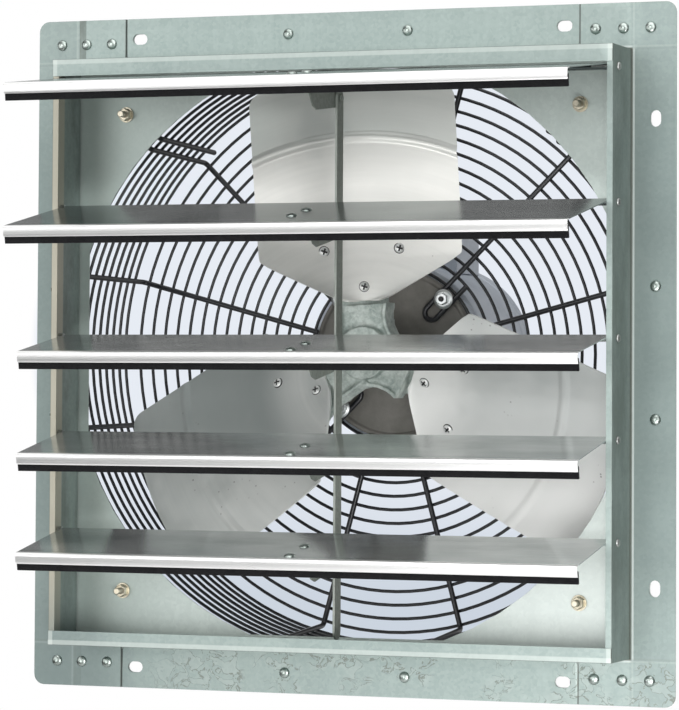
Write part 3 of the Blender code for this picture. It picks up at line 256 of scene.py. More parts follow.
def panel_sheet(light, dark):
    """The panel: painted light towards its lower right corner, painted shade at its left side."""
    m, color = galvanised("galvanised panel", light, dark, 0.6)
    # painted light, palest at the lower right
    pale = m.axis("X").smooth(0.0, 0.22) * m.axis("Z").smooth(0.0, -0.22)
    color = m.blend(pale * 0.35, color, (0.90, 0.935, 0.91))
    # painted shade at the left side
    left = m.axis("X").smooth(-0.14, -0.23)
    color = m.blend(left * 0.6, color, (0.36, 0.43, 0.40))
    return m.put(Base_Color=color).material


def louvre_metal(name, front, light, dark):
    """Mill-finish aluminium, brushed along the louvre, with broad darker bands; the lip at front, a Y in metres, gets a
    painted reflection, nearly white.
    """
    m = Finish(name, Metallic=0.85)
    brush = m.noise(1.0, 5.0, 0.65, m.spot((2.2, 700.0, 700.0)))
    broad = m.noise(1.0, 4.0, 0.6, m.spot((9.0, 22.0, 22.0)))
    fine = m.noise(1.0, 4.0, 0.6, m.spot((12.0, 1500.0, 1500.0)))
    tone = (brush * 0.3 + broad * 0.6 + fine * 0.1).smooth(0.34, 0.66)
    color = m.blend(tone, dark, light)
    marks = m.cells(60.0, place=m.spot((0.4, 1.0, 1.0))).smooth(0.075, 0.035) * m.noise(7.0, 2.0).smooth(0.55, 0.65)
    color = m.blend(marks * 0.5, color, (0.80, 0.81, 0.81))
    # painted reflection: the lip coloured nearly white
    lip = m.axis("Y").smooth(front + 0.0045, front + 0.003)
    bright = m.blend(brush.smooth(0.35, 0.6), (0.96, 0.96, 0.955), (1.0, 1.0, 0.99))
    color = m.blend(lip, color, bright)
    m.put(Base_Color=color, Roughness=(brush * 0.12 + 0.12).clamp() + lip * 0.12,
          Normal=m.bump(brush * 0.6 + broad, 0.0005, 0.15))
    return m.material


def blade_metal(name, light, dark, painted_shade=0.0, metallic=0.4):
    """Satin pressed aluminium: faint bands round the fan's axis, soft smudges and dark specks.

    Painted shade, as strong as the share given, lies on all but the lowest part of the blade, and painted shade always
    lies on the top blade's tip.
    """
    m = Finish(name, Metallic=metallic)
    radius = (m.axis("X") ** 2.0 + m.axis("Z") ** 2.0) ** 0.5
    round_axis = m.node("ShaderNodeCombineXYZ", {}, {"X": radius, "Y": m.axis("X") * 0.05, "Z": m.axis("Z") * 0.05})
    bands = m.noise(38.0, 3.0, 0.6, round_axis)
    hair = m.noise(330.0, 3.0, 0.6, round_axis)
    smudge = m.noise(8.0, 4.0, 0.55)
    tone = (smudge * 0.5 + bands * 0.4 + hair * 0.1).smooth(0.32, 0.68)
    color = m.blend(tone, dark, light)
    # painted shade over all but the lowest part of the blade
    blade_shade = m.axis("Z").smooth(-0.125, -0.065) * radius.smooth(0.07, 0.12) * (smudge.smooth(0.3, 0.6) * 0.3 + 0.7)
    color = m.blend(blade_shade * painted_shade, color, PAINTED_SHADE_ALUMINIUM)
    # painted shade on the top blade's tip
    tip = radius.smooth(0.19, 0.203) * m.axis("Z").smooth(0.1, 0.16)
    color = m.blend(tip * 0.4, color, (0.36, 0.41, 0.39))
    stain = m.noise(10.0, 3.0, 0.5, m.spot(move=(0.31, 0.2, 0.77))).smooth(0.58, 0.72)
    color = m.blend(stain * 0.3, color, (0.34, 0.38, 0.375))
    dots = m.cells(150.0).smooth(0.16, 0.08) * m.noise(14.0, 2.0).smooth(0.60, 0.68)
    color = m.blend(dots * 0.6, color, (0.16, 0.13, 0.13))
    m.put(Base_Color=color, Roughness=(0.36 + tone * 0.1).clamp(),
          Normal=m.bump(smudge * 0.7 + bands * 0.3, 0.0012, 0.3))
    return m.material


def cast_metal():
    """Sand-cast aluminium: grainy, mottled skin."""
    m = Finish("cast aluminium", Metallic=0.4)
    grain = m.noise(420.0, 4.0, 0.7)
    pits = m.cells(260.0)
    cloud = m.noise(60.0, 5.0, 0.65)
    veins = abs(m.noise(75.0, 4.0, 0.6, m.spot(move=(0.2, 0.5, 0.1))) - 0.5).smooth(0.05, 0.0)
    tone = (cloud * 0.75 + grain * 0.25).smooth(0.34, 0.66)
    color = m.blend(tone, (0.28, 0.335, 0.31), (0.62, 0.68, 0.64))
    color = m.blend(veins * 0.3, color, (0.68, 0.73, 0.69))
    m.put(Base_Color=color, Roughness=(0.46 + grain * 0.18).clamp(),
          Normal=m.bump(grain * 0.4 + pits * 0.3 + cloud * 0.5, 0.0014, 0.5))
    return m.material


def painted(name, light, dark, roughness, metallic=0.1):
    """Sprayed machine paint with a slight orange peel and dust in the clouds."""
    m = Finish(name, Metallic=metallic, Specular_IOR_Level=0.4)
    cloud = m.noise(17.0, 5.0, 0.6)
    peel = m.noise(600.0, 2.0, 0.5)
    color = m.blend(cloud.smooth(0.32, 0.68), dark, light)
    m.put(Base_Color=color, Roughness=(roughness + cloud * 0.15).clamp(), Normal=m.bump(peel, 0.0004, 0.3))
    return m.material


def black_wire():
    """Glossy black coating, a little uneven where it ran."""
    m = Finish("black coated wire", Metallic=0.0, Coat_Weight=0.35, Coat_Roughness=0.2, Specular_IOR_Level=0.45)
    runs = m.noise(150.0, 3.0, 0.6)
    color = m.blend(runs.smooth(0.35, 0.7), (0.006, 0.007, 0.010), (0.015, 0.016, 0.020))
    m.put(Base_Color=color, Roughness=(0.28 + runs * 0.18).clamp(), Normal=m.bump(runs, 0.0004, 0.35))
    return m.material


def black_felt():
    """Pressed felt: matted fibres, fluffy and without gloss."""
    m = Finish("black felt", Metallic=0.0, Roughness=0.95, Specular_IOR_Level=0.1, Sheen_Weight=0.15)
    fibre = m.noise(1.0, 6.0, 0.75, m.spot((260.0, 900.0, 900.0), (0.2, 0.4, 0.3)), distortion=1.2)
    mat = m.noise(70.0, 4.0, 0.6)
    color = m.blend((fibre * 0.7 + mat * 0.3).smooth(0.3, 0.75), (0.002, 0.002, 0.003), (0.012, 0.012, 0.013))
    m.put(Base_Color=color, Normal=m.bump(fibre, 0.0010, 0.8))
    return m.material


def plated(name, light, dark, roughness, metallic=0.9):
    """Electroplated fasteners, mottled and a little worn."""
    m = Finish(name, Metallic=metallic)
    mottle = m.noise(130.0, 4.0, 0.6)
    scuff = m.noise(1.0, 4.0, 0.6, m.spot((400.0, 90.0, 400.0)))
    color = m.blend((mottle * 0.7 + scuff * 0.3).smooth(0.3, 0.7), dark, light)
    m.put(Base_Color=color, Roughness=(roughness + mottle * 0.16).clamp(), Normal=m.bump(scuff, 0.0003, 0.3))
    return m.material


FRAME_STEEL = weathered_and_shaded_frame((0.40, 0.475, 0.45), (0.285, 0.35, 0.335))
PANEL_STEEL = panel_sheet((0.68, 0.75, 0.71), (0.53, 0.60, 0.57))
LINK_STEEL = linkage_sheet((0.30, 0.33, 0.295), (0.17, 0.19, 0.165))
# one aluminium in two tones: painted shade on the two long louvres at the top, painted light on the short ones
SHADED_LONG_METAL = louvre_metal("long louvre aluminium", -0.1635, (0.31, 0.34, 0.335), (0.14, 0.165, 0.163))
LIT_SHORT_METAL = louvre_metal("short louvre aluminium", -0.134, (0.73, 0.755, 0.745), (0.38, 0.415, 0.41))
# copies of one aluminium, painted lighter or darker as each blade is lit, with painted shade on the left and right ones
BLADE_METALS = (            # the top blade's, the left one's and the right one's
    blade_metal("blade aluminium, pale", (0.95, 0.94, 0.90), (0.76, 0.76, 0.725)),
    blade_metal("blade aluminium, dull", (0.92, 0.935, 0.91), (0.73, 0.76, 0.745), 0.85, 0.55),
    blade_metal("blade aluminium", (0.99, 0.99, 0.97), (0.95, 0.955, 0.93), 0.45, 0.3),
)
CAST_METAL = cast_metal()
BELL_PAINT = painted("motor bell paint", (0.255, 0.245, 0.225), (0.14, 0.135, 0.12), 0.5)
SHELL_PAINT = painted("motor shell paint", (0.66, 0.71, 0.78), (0.50, 0.55, 0.62), 0.38, 0.2)
WIRE_COAT = black_wire()
FELT = black_felt()
YELLOW_ZINC = plated("yellow zinc", (0.76, 0.71, 0.58), (0.42, 0.375, 0.27), 0.26, 0.7)
RIVET_ZINC = plated("rivet zinc", (0.50, 0.56, 0.53), (0.30, 0.345, 0.32), 0.2, 1.0)
BRIGHT_ZINC = plated("bright zinc", (0.78, 0.80, 0.80), (0.52, 0.55, 0.55), 0.24)
DARK_ZINC = plated("pivot zinc", (0.60, 0.62, 0.60), (0.22, 0.23, 0.22), 0.3, 0.9)
# also the dark of the painted shade pieces in and round the blade screws
DARK_STEEL = plated("oiled stud and painted shade", (0.05, 0.05, 0.05), (0.02, 0.02, 0.02), 0.4, 0.3)
SCREW_ZINC = plated("screw zinc", (0.97, 0.97, 0.95), (0.80, 0.81, 0.80), 0.3, 0.5)
BRIGHT_STEEL = plated("bright steel", (0.64, 0.64, 0.62), (0.40, 0.40, 0.39), 0.22)


# ---------------------------------------------------------------- modelling helpers

def only(*pieces):
    """Selects these pieces and nothing else."""
    if bpy.context.object and bpy.context.object.mode != "OBJECT":
        bpy.ops.object.mode_set(mode="OBJECT")
    bpy.ops.object.select_all(action="DESELECT")
    for piece in pieces:
        piece.select_set(True)
    if pieces:
        bpy.context.view_layer.objects.active = pieces[0]


def place(piece, matrix=None):
    """Puts the piece's place into its mesh, so that its object sits at the origin."""
    only(piece)
    if matrix is not None:
        piece.matrix_world = matrix @ piece.matrix_world
    bpy.ops.object.transform_apply(location=True, rotation=True, scale=True)
    return piece


def clean(piece):
    """Merges doubles and turns every face outwards."""
    only(piece)
    bpy.ops.object.mode_set(mode="EDIT")
    bpy.ops.mesh.select_all(action="SELECT")
    bpy.ops.mesh.remove_doubles(threshold=MERGE)
    bpy.ops.mesh.normals_make_consistent(inside=False)
    bpy.ops.object.mode_set(mode="OBJECT")
    return piece


def modify(piece, kind, **settings):
    """Adds a modifier and applies it."""
    only(piece)
    step = piece.modifiers.new(kind.title(), kind)
    for name, value in settings.items():
        setattr(step, name, value)
    bpy.ops.object.modifier_apply(modifier=step.name)
    return piece


def rounded(piece, width, segments=2, angle=35.0):
    """Rounds the sharp edges, shades the rest smooth and keeps flat faces flat."""
    if width:
        modify(piece, "BEVEL", width=width * MM, segments=segments, limit_method="ANGLE",
               angle_limit=math.radians(angle), use_clamp_overlap=True)
    only(piece)
    bpy.ops.object.shade_smooth_by_angle(angle=math.radians(40))
    if width:
        modify(piece, "WEIGHTED_NORMAL", keep_sharp=True)
    return piece


def settle(piece, name, finish, body, slot, *nodes):
    """Gives a finished piece its name, finish and body, and the CAD nodes that it stands for; slot is not used."""
    piece.name = piece.data.name = name
    piece.data.materials.clear()
    piece.data.materials.append(finish)
    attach(piece, body)
    if nodes:
        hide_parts(*nodes)
    return piece


def from_cad(node):
    """A merged copy of a CAD node's mesh, with its flat faces whole again."""
    piece = bpy.data.objects.new("copy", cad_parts[node].data.copy())
    bpy.context.scene.collection.objects.link(piece)
    only(piece)
    bpy.ops.mesh.customdata_custom_splitnormals_clear()
    bpy.ops.object.mode_set(mode="EDIT")
    bpy.ops.mesh.select_all(action="SELECT")
    bpy.ops.mesh.remove_doubles(threshold=MERGE)
    bpy.ops.mesh.dissolve_limited(angle_limit=math.radians(0.6))
    bpy.ops.object.mode_set(mode="OBJECT")
    return piece


def dressed(node, finish, body, slot, width, segments=2):
    """A CAD node with its edges rounded, standing in for itself."""
    return settle(rounded(from_cad(node), width, segments), "dressed_" + node, finish, body, slot, node)


TURNS = {"X": (0.0, math.radians(90), 0.0), "Y": (math.radians(90), 0.0, 0.0)}


def turned(axis, centre, stations, sides=32, width=0.0, segments=2):
    """Turns a piece about X or Y through (place, radius) stations in millimetres, closed at both ends."""
    along = "XYZ".index(axis)
    centre = [value * MM for value in centre]
    reached, radius = stations[0]
    centre[along] = reached * MM
    only()
    bpy.ops.mesh.primitive_circle_add(vertices=sides, radius=radius * MM, fill_type="NGON", location=centre,
                                      rotation=TURNS[axis])
    piece = place(bpy.context.object)
    bpy.ops.object.mode_set(mode="EDIT")
    bpy.ops.mesh.select_all(action="SELECT")
    for spot, wide in stations[1:]:
        move = [0.0, 0.0, 0.0]
        move[along] = (spot - reached) * MM
        bpy.ops.mesh.extrude_region_move(TRANSFORM_OT_translate={"value": move})
        centre[along] = spot * MM
        if wide != radius:
            factors = [wide / radius] * 3
            factors[along] = 1.0
            bpy.ops.transform.resize(value=factors, center_override=centre)
        reached, radius = spot, wide
    clean(piece)
    return rounded(piece, width, segments)


def copied(piece):
    """Another piece of the same shape, with a mesh of its own."""
    twin = piece.copy()
    twin.data = piece.data.copy()
    bpy.context.scene.collection.objects.link(twin)
    return twin


def joined(pieces):
    """Makes the pieces one."""
    only(*pieces)
    if len(pieces) > 1:
        bpy.ops.object.join()
    return bpy.context.object


def wire(points, thickness, sides=3):
    """A round wire through points in metres, made a mesh with capped ends."""
    data = bpy.data.curves.new("wire", "CURVE")
    data.dimensions = "3D"
    data.bevel_depth, data.bevel_resolution, data.use_fill_caps = thickness * MM, sides, True
    spline = data.splines.new("POLY")
    spline.points.add(len(points) - 1)
    for knot, spot in zip(spline.points, points):
        knot.co = (*spot, 1.0)
    piece = bpy.data.objects.new("wire", data)
    bpy.context.scene.collection.objects.link(piece)
    only(piece)
    bpy.ops.object.convert(target="MESH")
    return clean(bpy.context.object)


def bend(centre, radius, start, end, steps=8):
    """Points of an arc in a plane, in millimetres."""
    return [(centre[0] + radius * math.cos(math.radians(start + (end - start) * i / steps)),
             centre[1] + radius * math.sin(math.radians(start + (end - start) * i / steps)))
            for i in range(steps + 1)]


# ---------------------------------------------------------------- camera, light and floor

# Light of the surround: direction, full within and gone beyond so many degrees of it, level
AMBIENT = 0.06
ROOM = (
    ((0.0, 0.0, 1.0), 25, 65, 1.0),             # ceiling
    ((0.0, 0.0, -1.0), 25, 70, 0.3),            # floor
    ((-0.36, -0.93, 0.02), 6, 18, 3.3),         # left of the camera
    ((0.47, -0.86, 0.1), 12, 32, 1.85),         # right of the camera
    ((-0.36, 0.93, 0.0), 10, 30, 0.25),         # behind the fan
    ((0.5, 0.86, 0.0), 12, 34, 0.65),           # behind it, right
    ((-0.9, 0.43, 0.1), 12, 34, 0.75),          # behind it, left
)
LAMPS = (
    ("lamp above", (0.1, -1.0, 1.2), (0.0, 0.0, 0.2), 1.5, 11.4),
    ("lamp below", (0.2, -1.1, -1.1), (0.05, 0.0, -0.25), 1.0, 8.2),
    ("lamp left", (-1.3, -1.0, 0.2), (-0.1, 0.0, 0.0), 1.0, 4.4),
    ("lamp right", (0.45, -1.0, -0.42), (0.2, 0.0, -0.2), 0.4, 5.2),
)


# The camera: turns in radians, a point in view and its distance, then in pixels the focal length, the picture's
# height and centre and where the point is seen
YAW, PITCH, ROLL = 0.3666, 0.0398, 0.0056
TARGET, DISTANCE = Vector((-5.88, 0.0, 96.17)) * MM, 3190.4 * MM
FOCAL_LENGTH, SENSOR = 3627.25, 36.0
PICTURE_HEIGHT, CENTRE, TARGET_AT = 710, (339.5, 355.0), (340.23, 243.04)


def studio():
    """The photograph's view, a white surround and plain soft light."""
    yaw, pitch, roll = YAW, PITCH, ROLL
    forward = Vector((-math.sin(yaw) * math.cos(pitch), math.cos(yaw) * math.cos(pitch), math.sin(pitch)))
    right = Vector((math.cos(yaw), math.sin(yaw), 0.0))
    up = right.cross(forward)
    level, upright = (math.cos(roll) * right + math.sin(roll) * up, math.cos(roll) * up - math.sin(roll) * right)
    eye = TARGET - DISTANCE * forward
    data = bpy.data.cameras.new("photo view")
    data.sensor_width, data.lens = SENSOR, FOCAL_LENGTH * SENSOR / PICTURE_HEIGHT
    data.shift_x = (CENTRE[0] - TARGET_AT[0]) / PICTURE_HEIGHT
    data.shift_y = (TARGET_AT[1] - CENTRE[1]) / PICTURE_HEIGHT
    data.clip_end = 50.0
    camera = bpy.data.objects.new("photo view", data)
    camera.matrix_world = Matrix((
        (level.x, upright.x, -forward.x, eye.x),
        (level.y, upright.y, -forward.y, eye.y),
        (level.z, upright.z, -forward.z, eye.z),
        (0.0, 0.0, 0.0, 1.0),
    ))
    bpy.context.scene.collection.objects.link(camera)
    bpy.context.scene.camera = camera
    bpy.context.scene.view_settings.view_transform = "Standard"

    world = bpy.data.worlds.new("white studio")
    world.use_nodes = True
    bpy.context.scene.world = world
    w = Tree(world.node_tree)
    look = w.node("ShaderNodeTexCoord", out=0)
    glow = w.lobe(look, *ROOM[0])
    for part in ROOM[1:]:
        glow = glow + w.lobe(look, *part)
    ray = w.node("ShaderNodeLightPath")
    camera_ray, glossy_ray, clear_ray = (Value(w, ray.socket.node.outputs[name]) for name in (
        "Is Camera Ray", "Is Glossy Ray", "Is Transmission Ray"))
    backdrop = w.lobe(look, (-0.36, 0.93, 0.0), 8, 16, 1.0)
    shown = camera_ray.highest(clear_ray).highest(glossy_ray * backdrop)
    height = w.node("ShaderNodeSeparateXYZ", {}, {"Vector": look}, out=2)
    # what the camera sees: white, with a lavender haze behind the opening, paler above
    haze = w.blend(height.smooth(-0.065, -0.01), (0.60, 0.66, 0.74), (0.80, 0.84, 0.905))
    pale = w.blend(w.lobe(look, -eye, 4.8, 5.0, 1.0), (1.0, 1.0, 1.0), haze)
    w.feed(w.nodes["Background"].inputs["Color"], w.blend(shown, glow + AMBIENT, pale))

    for name, spot, aim, size, power in LAMPS:
        lamp = bpy.data.lights.new(name, "AREA")
        lamp.size, lamp.energy = size, power
        holder = bpy.data.objects.new(name, lamp)
        holder.location = spot
        holder.rotation_euler = (Vector(aim) - Vector(spot)).to_track_quat("-Z", "Y").to_euler()
        bpy.context.scene.collection.objects.link(holder)

    only()
    bpy.ops.mesh.primitive_plane_add(size=4.4, location=(0.0, 0.0, -0.62))
    floor = place(bpy.context.object)
    floor.name = "studio_floor"
    m = Finish("pale floor", Roughness=0.8)
    grain = m.noise(40.0, 3.0)
    m.put(Base_Color=m.blend(grain, (0.80, 0.80, 0.80), (0.84, 0.84, 0.84)))
    away = m.axis("X") ** 2.0 + m.axis("Y") ** 2.0
    # it fades out between 0.55 and 1.07 m from the fan's middle
    fade = m.node("ShaderNodeMixShader", {}, {
        0: away.smooth(0.3, 1.15), 1: Value(m, m.shader.outputs[0]), 2: m.node("ShaderNodeBsdfTransparent"),
    })
    m.feed(m.nodes["Material Output"].inputs["Surface"], fade)
    floor.data.materials.append(m.material)


# ---------------------------------------------------------------- shutter frame

TAB_RIVETS, TAB_RIVET_Z = (277.1, 252.8, 227.9), 278.1
RAIL_RIVET, SIDE_RIVET = (56.2, 282.1), (281.8, 56.7)


def sheet_frame():
    """The four folded sides and the orifice panel, with their riveted corners."""
    for node in ("frame_side_left", "frame_side_right", "frame_rail_top", "frame_rail_bottom"):
        dressed(node, FRAME_STEEL, "frame", "galvanised_frame", 0.3)
    dressed("orifice_panel", PANEL_STEEL, "frame", "galvanised_panel", 0.3)
    spots = []
    for x in (-1, 1):
        for z in (-1, 1):
            spots += [(x * across, z * TAB_RIVET_Z) for across in TAB_RIVETS]
            spots += [(x * across, z * up) for across, up in (RAIL_RIVET, SIDE_RIVET)]
    first = turned("Y", (0, 0, 0), [(0.2, 4.9), (-0.5, 4.85), (-1.2, 4.45), (-1.8, 3.7), (-2.2, 2.6), (-2.35, 1.5),
                                    (-2.0, 1.1)], 28)
    rivets = [place(copied(first), Matrix.Translation((x * MM, 0.0, z * MM))) for x, z in spots]
    bpy.data.objects.remove(first)
    settle(joined(rivets), "flange_rivets", RIVET_ZINC, "frame", "galvanised_frame")


# ---------------------------------------------------------------- louvres and linkage

PIVOT_Y = -39.0
PIVOTS = (242.0, 127.0, 12.0, -74.0, -160.0)        # heights of the louvres' pivots
DROOPS = (6.5, 10.5, 9.5, 11.0, 11.0)               # degrees that the open louvres hang down
LONG_LOUVRES = 2
LOUVRE_RIVETS = ((-3.0, -50.0), (-3.0, -85.0))      # from the pivot, along X and towards the lip
LOUVRE_TOP = 3.05


def hang(piece, index):
    """Moves a piece drawn round the origin with its louvre level into the open louvre's place."""
    pivot = Vector((0.0, PIVOT_Y, PIVOTS[index])) * MM
    return place(piece, Matrix.Translation(pivot) @ Matrix.Rotation(math.radians(DROOPS[index]), 4, "X"))


def louvres():
    """Five louvres with felt, bracket, rivets and pivot pins."""
    for index in range(len(PIVOTS)):
        body = f"leaf_{index + 1}"
        metal = SHADED_LONG_METAL if index < LONG_LOUVRES else LIT_SHORT_METAL
        dressed(f"louvre_{index + 1}", metal, body, "louvre_aluminium", 0.15, 1)
        dressed(f"felt_seal_{index + 1}", FELT, body, "black_felt", 0.6, 3)
        dressed(f"link_bracket_{index + 1}", LINK_STEEL, body, "galvanised_link", 0.25)
        heads = []
        for across, along in LOUVRE_RIVETS:
            head = turned("Y", (0, 0, 0), [(0.0, 4.9), (-0.6, 4.8), (-1.2, 4.1), (-1.7, 3.0), (-1.9, 1.8),
                                           (-1.5, 1.3)], 24)
            place(head, Matrix.Rotation(math.radians(-90), 4, "X"))
            heads.append(place(head, Matrix.Translation((across * MM, along * MM, LOUVRE_TOP * MM))))
        settle(hang(joined(heads), index), f"louvre_rivets_{index + 1}", RIVET_ZINC, body, "louvre_aluminium")
        for side, sign in (("left", -1), ("right", 1)):
            centre = (0.0, PIVOT_Y, PIVOTS[index])
            shank = turned("X", centre, [(sign * 236.5, 2.0), (sign * 261.3, 2.0)], 16)
            bush = turned("X", centre, [(sign * 254.8, 4.2), (sign * 258.7, 4.2)], 24, 0.4)
            head = turned("X", centre, [(sign * 260.3, 3.6), (sign * 261.0, 3.5), (sign * 261.9, 2.7),
                                        (sign * 262.3, 1.4)], 24)
            settle(joined([shank, bush, head]), f"pin_{side}_{index + 1}", DARK_ZINC, body, "bright_zinc",
                   f"pivot_pin_{side}_{index + 1}")
    dressed("tie_bar", LINK_STEEL, "link", "galvanised_link", 0.3)


# ---------------------------------------------------------------- rotor

# Radii: the blade's tip and root, where its slanted flanks end, and its stiffening bead
TIP, ROOT, SHOULDER, BEAD = 249.5, 47.0, 84.0, 194.0
BLADE_Y = 52.5
BLADES, REST_TURN = 3, 4.0
BLADE_SCREWS = ((0.0, 59.5), (-29.7, 93.0), (29.7, 93.0))       # across the blade and out from the axis
CROSS = (20, 110)           # degrees of the two arms of a screw's cross recess


def blade_half(r):
    """Half the blade's width at radius r: slanted flanks, a slow flare and rounded corners."""
    slanted = 17 + (80 - 17) * (r - ROOT) / (SHOULDER - ROOT)
    side = 80 + 6 * (r - SHOULDER) / (TIP - SHOULDER)
    half = (slanted + side - math.hypot(slanted - side, 6)) / 2
    for distance, corner in ((r - ROOT, 5.0), (TIP - r, 9.0)):
        left = min(1.0, max(0.0, 1 - distance / corner))
        half -= corner * (1 - math.sqrt(1 - left * left))
    return half


def blade_point(r, across):
    """A point of the blade's middle surface, with the blade pointing up, in millimetres."""
    u = across * blade_half(r)
    share = min(1.0, max(0.0, (r - SHOULDER) / (TIP - SHOULDER)))
    slope = math.tan(math.radians(30 - 9 * share))
    bow = min(1.0, max(0.0, (r - SHOULDER) / 80))
    radial = r - bow * (r - math.sqrt(r * r - u * u)) if r > abs(u) else r
    ridge = 0.5 + 0.5 * math.cos(math.pi * min(1.0, abs(r - BEAD) / 6))
    return u, BLADE_Y + u * slope + 4 * (1 - across * across) - 2.2 * ridge, radial


def rotor_turn(number):
    """The turn that takes an upright blade to its place at rest."""
    return Matrix.Rotation(math.radians(-(REST_TURN + 120.0 * number)), 4, "Y")


def blades():
    """Three pressed blades, with more rows of faces at their ends and at the bead."""
    rows = [ROOT + 5 * (1 - math.cos(math.radians(a))) for a in range(0, 90, 10)]
    rows += [52 + (SHOULDER + 8 - 52) * i / 14 for i in range(15)]
    rows += [92 + (BEAD - 7 - 92) * i / 17 for i in range(1, 18)]
    rows += [BEAD - 6 + 12 * i / 14 for i in range(15)]
    rows += [BEAD + 6 + (TIP - 9 - BEAD - 6) * i / 7 for i in range(1, 8)]
    rows += [TIP - 9 + 9 * math.sin(math.radians(a)) for a in range(8, 91, 8)] + [TIP]
    columns = 32
    for number in range(BLADES):
        only()
        bpy.ops.mesh.primitive_grid_add(x_subdivisions=columns, y_subdivisions=len(rows) - 1, size=2)
        piece = bpy.context.object
        for vertex in piece.data.vertices:
            row = rows[round((vertex.co.y + 1) / 2 * (len(rows) - 1))]
            vertex.co = Vector(blade_point(row, vertex.co.x)) * MM
        modify(piece, "SOLIDIFY", thickness=1.5 * MM, offset=0.0)
        clean(piece)
        rounded(piece, 0.3, 2, 50)
        place(piece, rotor_turn(number))
        settle(piece, f"pressed_blade_{number + 1}", BLADE_METALS[number], "rotor", "blade_aluminium",
               f"blade_{number + 1}")


def cross_arm(angle, depth, size):
    """A bar through the Y axis at a depth, turned by an angle about it."""
    only()
    bpy.ops.mesh.primitive_cube_add(size=1.0, location=(0.0, depth * MM, 0.0))
    bar = bpy.context.object
    bar.scale = [value * MM for value in size]
    return place(bar, Matrix.Rotation(math.radians(angle), 4, "Y"))


def screw_head():
    """A pan head with a cross recess, pointing to -Y, its seat at the origin."""
    head = turned("Y", (0, 0, 0), [(0.6, 3.4), (-0.3, 3.4), (-0.4, 4.2), (-0.9, 4.3), (-1.6, 3.9), (-2.1, 3.1),
                                   (-2.4, 1.9), (-2.5, 0.8)], 32)
    for angle in CROSS:
        bar = cross_arm(angle, -2.0, (6.2, 4.2, 1.7))
        modify(head, "BOOLEAN", operation="DIFFERENCE", solver="EXACT", object=bar)
        bpy.data.objects.remove(bar)
    return rounded(head, 0.0)


def screw_shade():
    """Dark pieces of painted shade: the bottom of a screw's cross and a painted shadow ring at its seat."""
    parts = [turned("Y", (0, 0, 0), [(0.6, 5.0), (0.0, 5.0), (-0.15, 4.6), (-0.15, 2.0)], 32)]
    parts += [rounded(cross_arm(angle, -1.2, (5.6, 1.4, 1.6)), 0.1, 1) for angle in CROSS]
    return joined(parts)


def hub():
    """The cast spider with its soft edges, the blade screws and the shaft."""
    spider = from_cad("hub_spider")
    modify(spider, "REMESH", mode="VOXEL", voxel_size=1.0 * MM)
    modify(spider, "SMOOTH", factor=0.5, iterations=3)
    only(spider)
    bpy.ops.object.shade_smooth()
    settle(spider, "cast_hub", CAST_METAL, "rotor", "cast_aluminium", "hub_spider")
    head, shade = screw_head(), screw_shade()
    screws, shades = [], []
    for number in range(BLADES):
        for u, r in BLADE_SCREWS:
            _, depth, radial = blade_point(r, u / blade_half(r))
            seat = Matrix.Translation(Vector((u, depth - 0.8, radial)) * MM)
            tilt = Matrix.Rotation(math.radians(30), 4, "Z")
            screws.append(place(copied(head), rotor_turn(number) @ seat @ tilt))
            shades.append(place(copied(shade), rotor_turn(number) @ seat @ tilt))
    bpy.data.objects.remove(head)
    bpy.data.objects.remove(shade)
    settle(joined(screws), "blade_screws", SCREW_ZINC, "rotor", "bright_zinc")
    # dark pieces of painted shade in and round the blade screws
    settle(joined(shades), "screw_shade_pieces", DARK_STEEL, "rotor", "bright_zinc")
    shaft = turned("Y", (0, 0, 0), [(28.6, 4.0), (28.0, 6.4), (28.8, 7.2), (127.0, 7.2)], 40)
    settle(shaft, "turned_shaft", BRIGHT_STEEL, "rotor", "bright_steel", "rotor_shaft")


# ---------------------------------------------------------------- motor

STUD_CIRCLE, CORNER_BOLT = 70.0, 213.8


def motor():
    """The front bell with its bearing boss, the shell, the rear bell and the terminal box."""
    bell = turned("Y", (0, 0, 0), [
        (131.8, 76.6), (124.6, 77.0), (123.2, 76.2), (122.8, 74.6), (122.8, 73.6), (124.8, 71.8), (124.8, 32.0),
        (122.9, 27.0), (122.8, 20.0), (115.0, 19.6), (113.2, 18.6), (112.8, 17.0), (112.8, 12.0), (114.0, 11.0),
        (114.0, 7.6),
    ], 96, 0.5)
    settle(bell, "motor_bell", BELL_PAINT, "frame", "motor_paint", "motor_front_bell")
    shell = turned("Y", (0, 0, 0), [
        (132.1, 82.0), (133.0, 83.6), (136.0, 84.0), (145.0, 84.0), (146.0, 83.2), (248.0, 83.2), (249.0, 84.0),
        (258.0, 84.0), (261.0, 83.6), (262.0, 82.0),
    ], 96, 0.4)
    settle(shell, "motor_can", SHELL_PAINT, "frame", "motor_paint", "motor_shell")
    rear = turned("Y", (0, 0, 0), [
        (262.3, 83.6), (268.0, 84.0), (270.5, 82.6), (277.5, 66.0), (280.3, 61.0), (280.3, 46.0), (278.3, 44.0),
        (278.3, 30.0), (280.3, 27.0), (280.3, 18.0), (284.6, 17.6), (285.3, 16.6), (285.3, 6.0), (284.3, 5.0),
    ], 96, 0.6)
    settle(rear, "motor_rear", SHELL_PAINT, "frame", "motor_paint", "motor_rear_bell")
    box = from_cad("terminal_box")
    rounded(box, 1.2, 3, 50)
    settle(box, "wiring_box", SHELL_PAINT, "frame", "motor_paint", "terminal_box")


def hexagon(centre, start, end, radius):
    """A hexagonal nut or head with chamfered corners, along Y."""
    sign = 1 if end > start else -1
    rim = radius * 0.9
    return turned("Y", centre, [(start, radius), (end - sign * 0.9, radius), (end, rim)], 6, 0.15, 1)


def threaded(centre, start, end, radius, pitch=0.9):
    """The threaded end of a bolt, along Y, as fine grooves."""
    sign = 1 if end > start else -1
    stations, spot = [(start, radius)], start
    while sign * (end - spot) > 2 * pitch:
        stations += [(spot + sign * pitch * 0.5, radius * 0.86), (spot + sign * pitch, radius)]
        spot += sign * pitch
    return turned("Y", centre, stations + [(end - sign * 0.5, radius), (end, radius * 0.8)], 16)


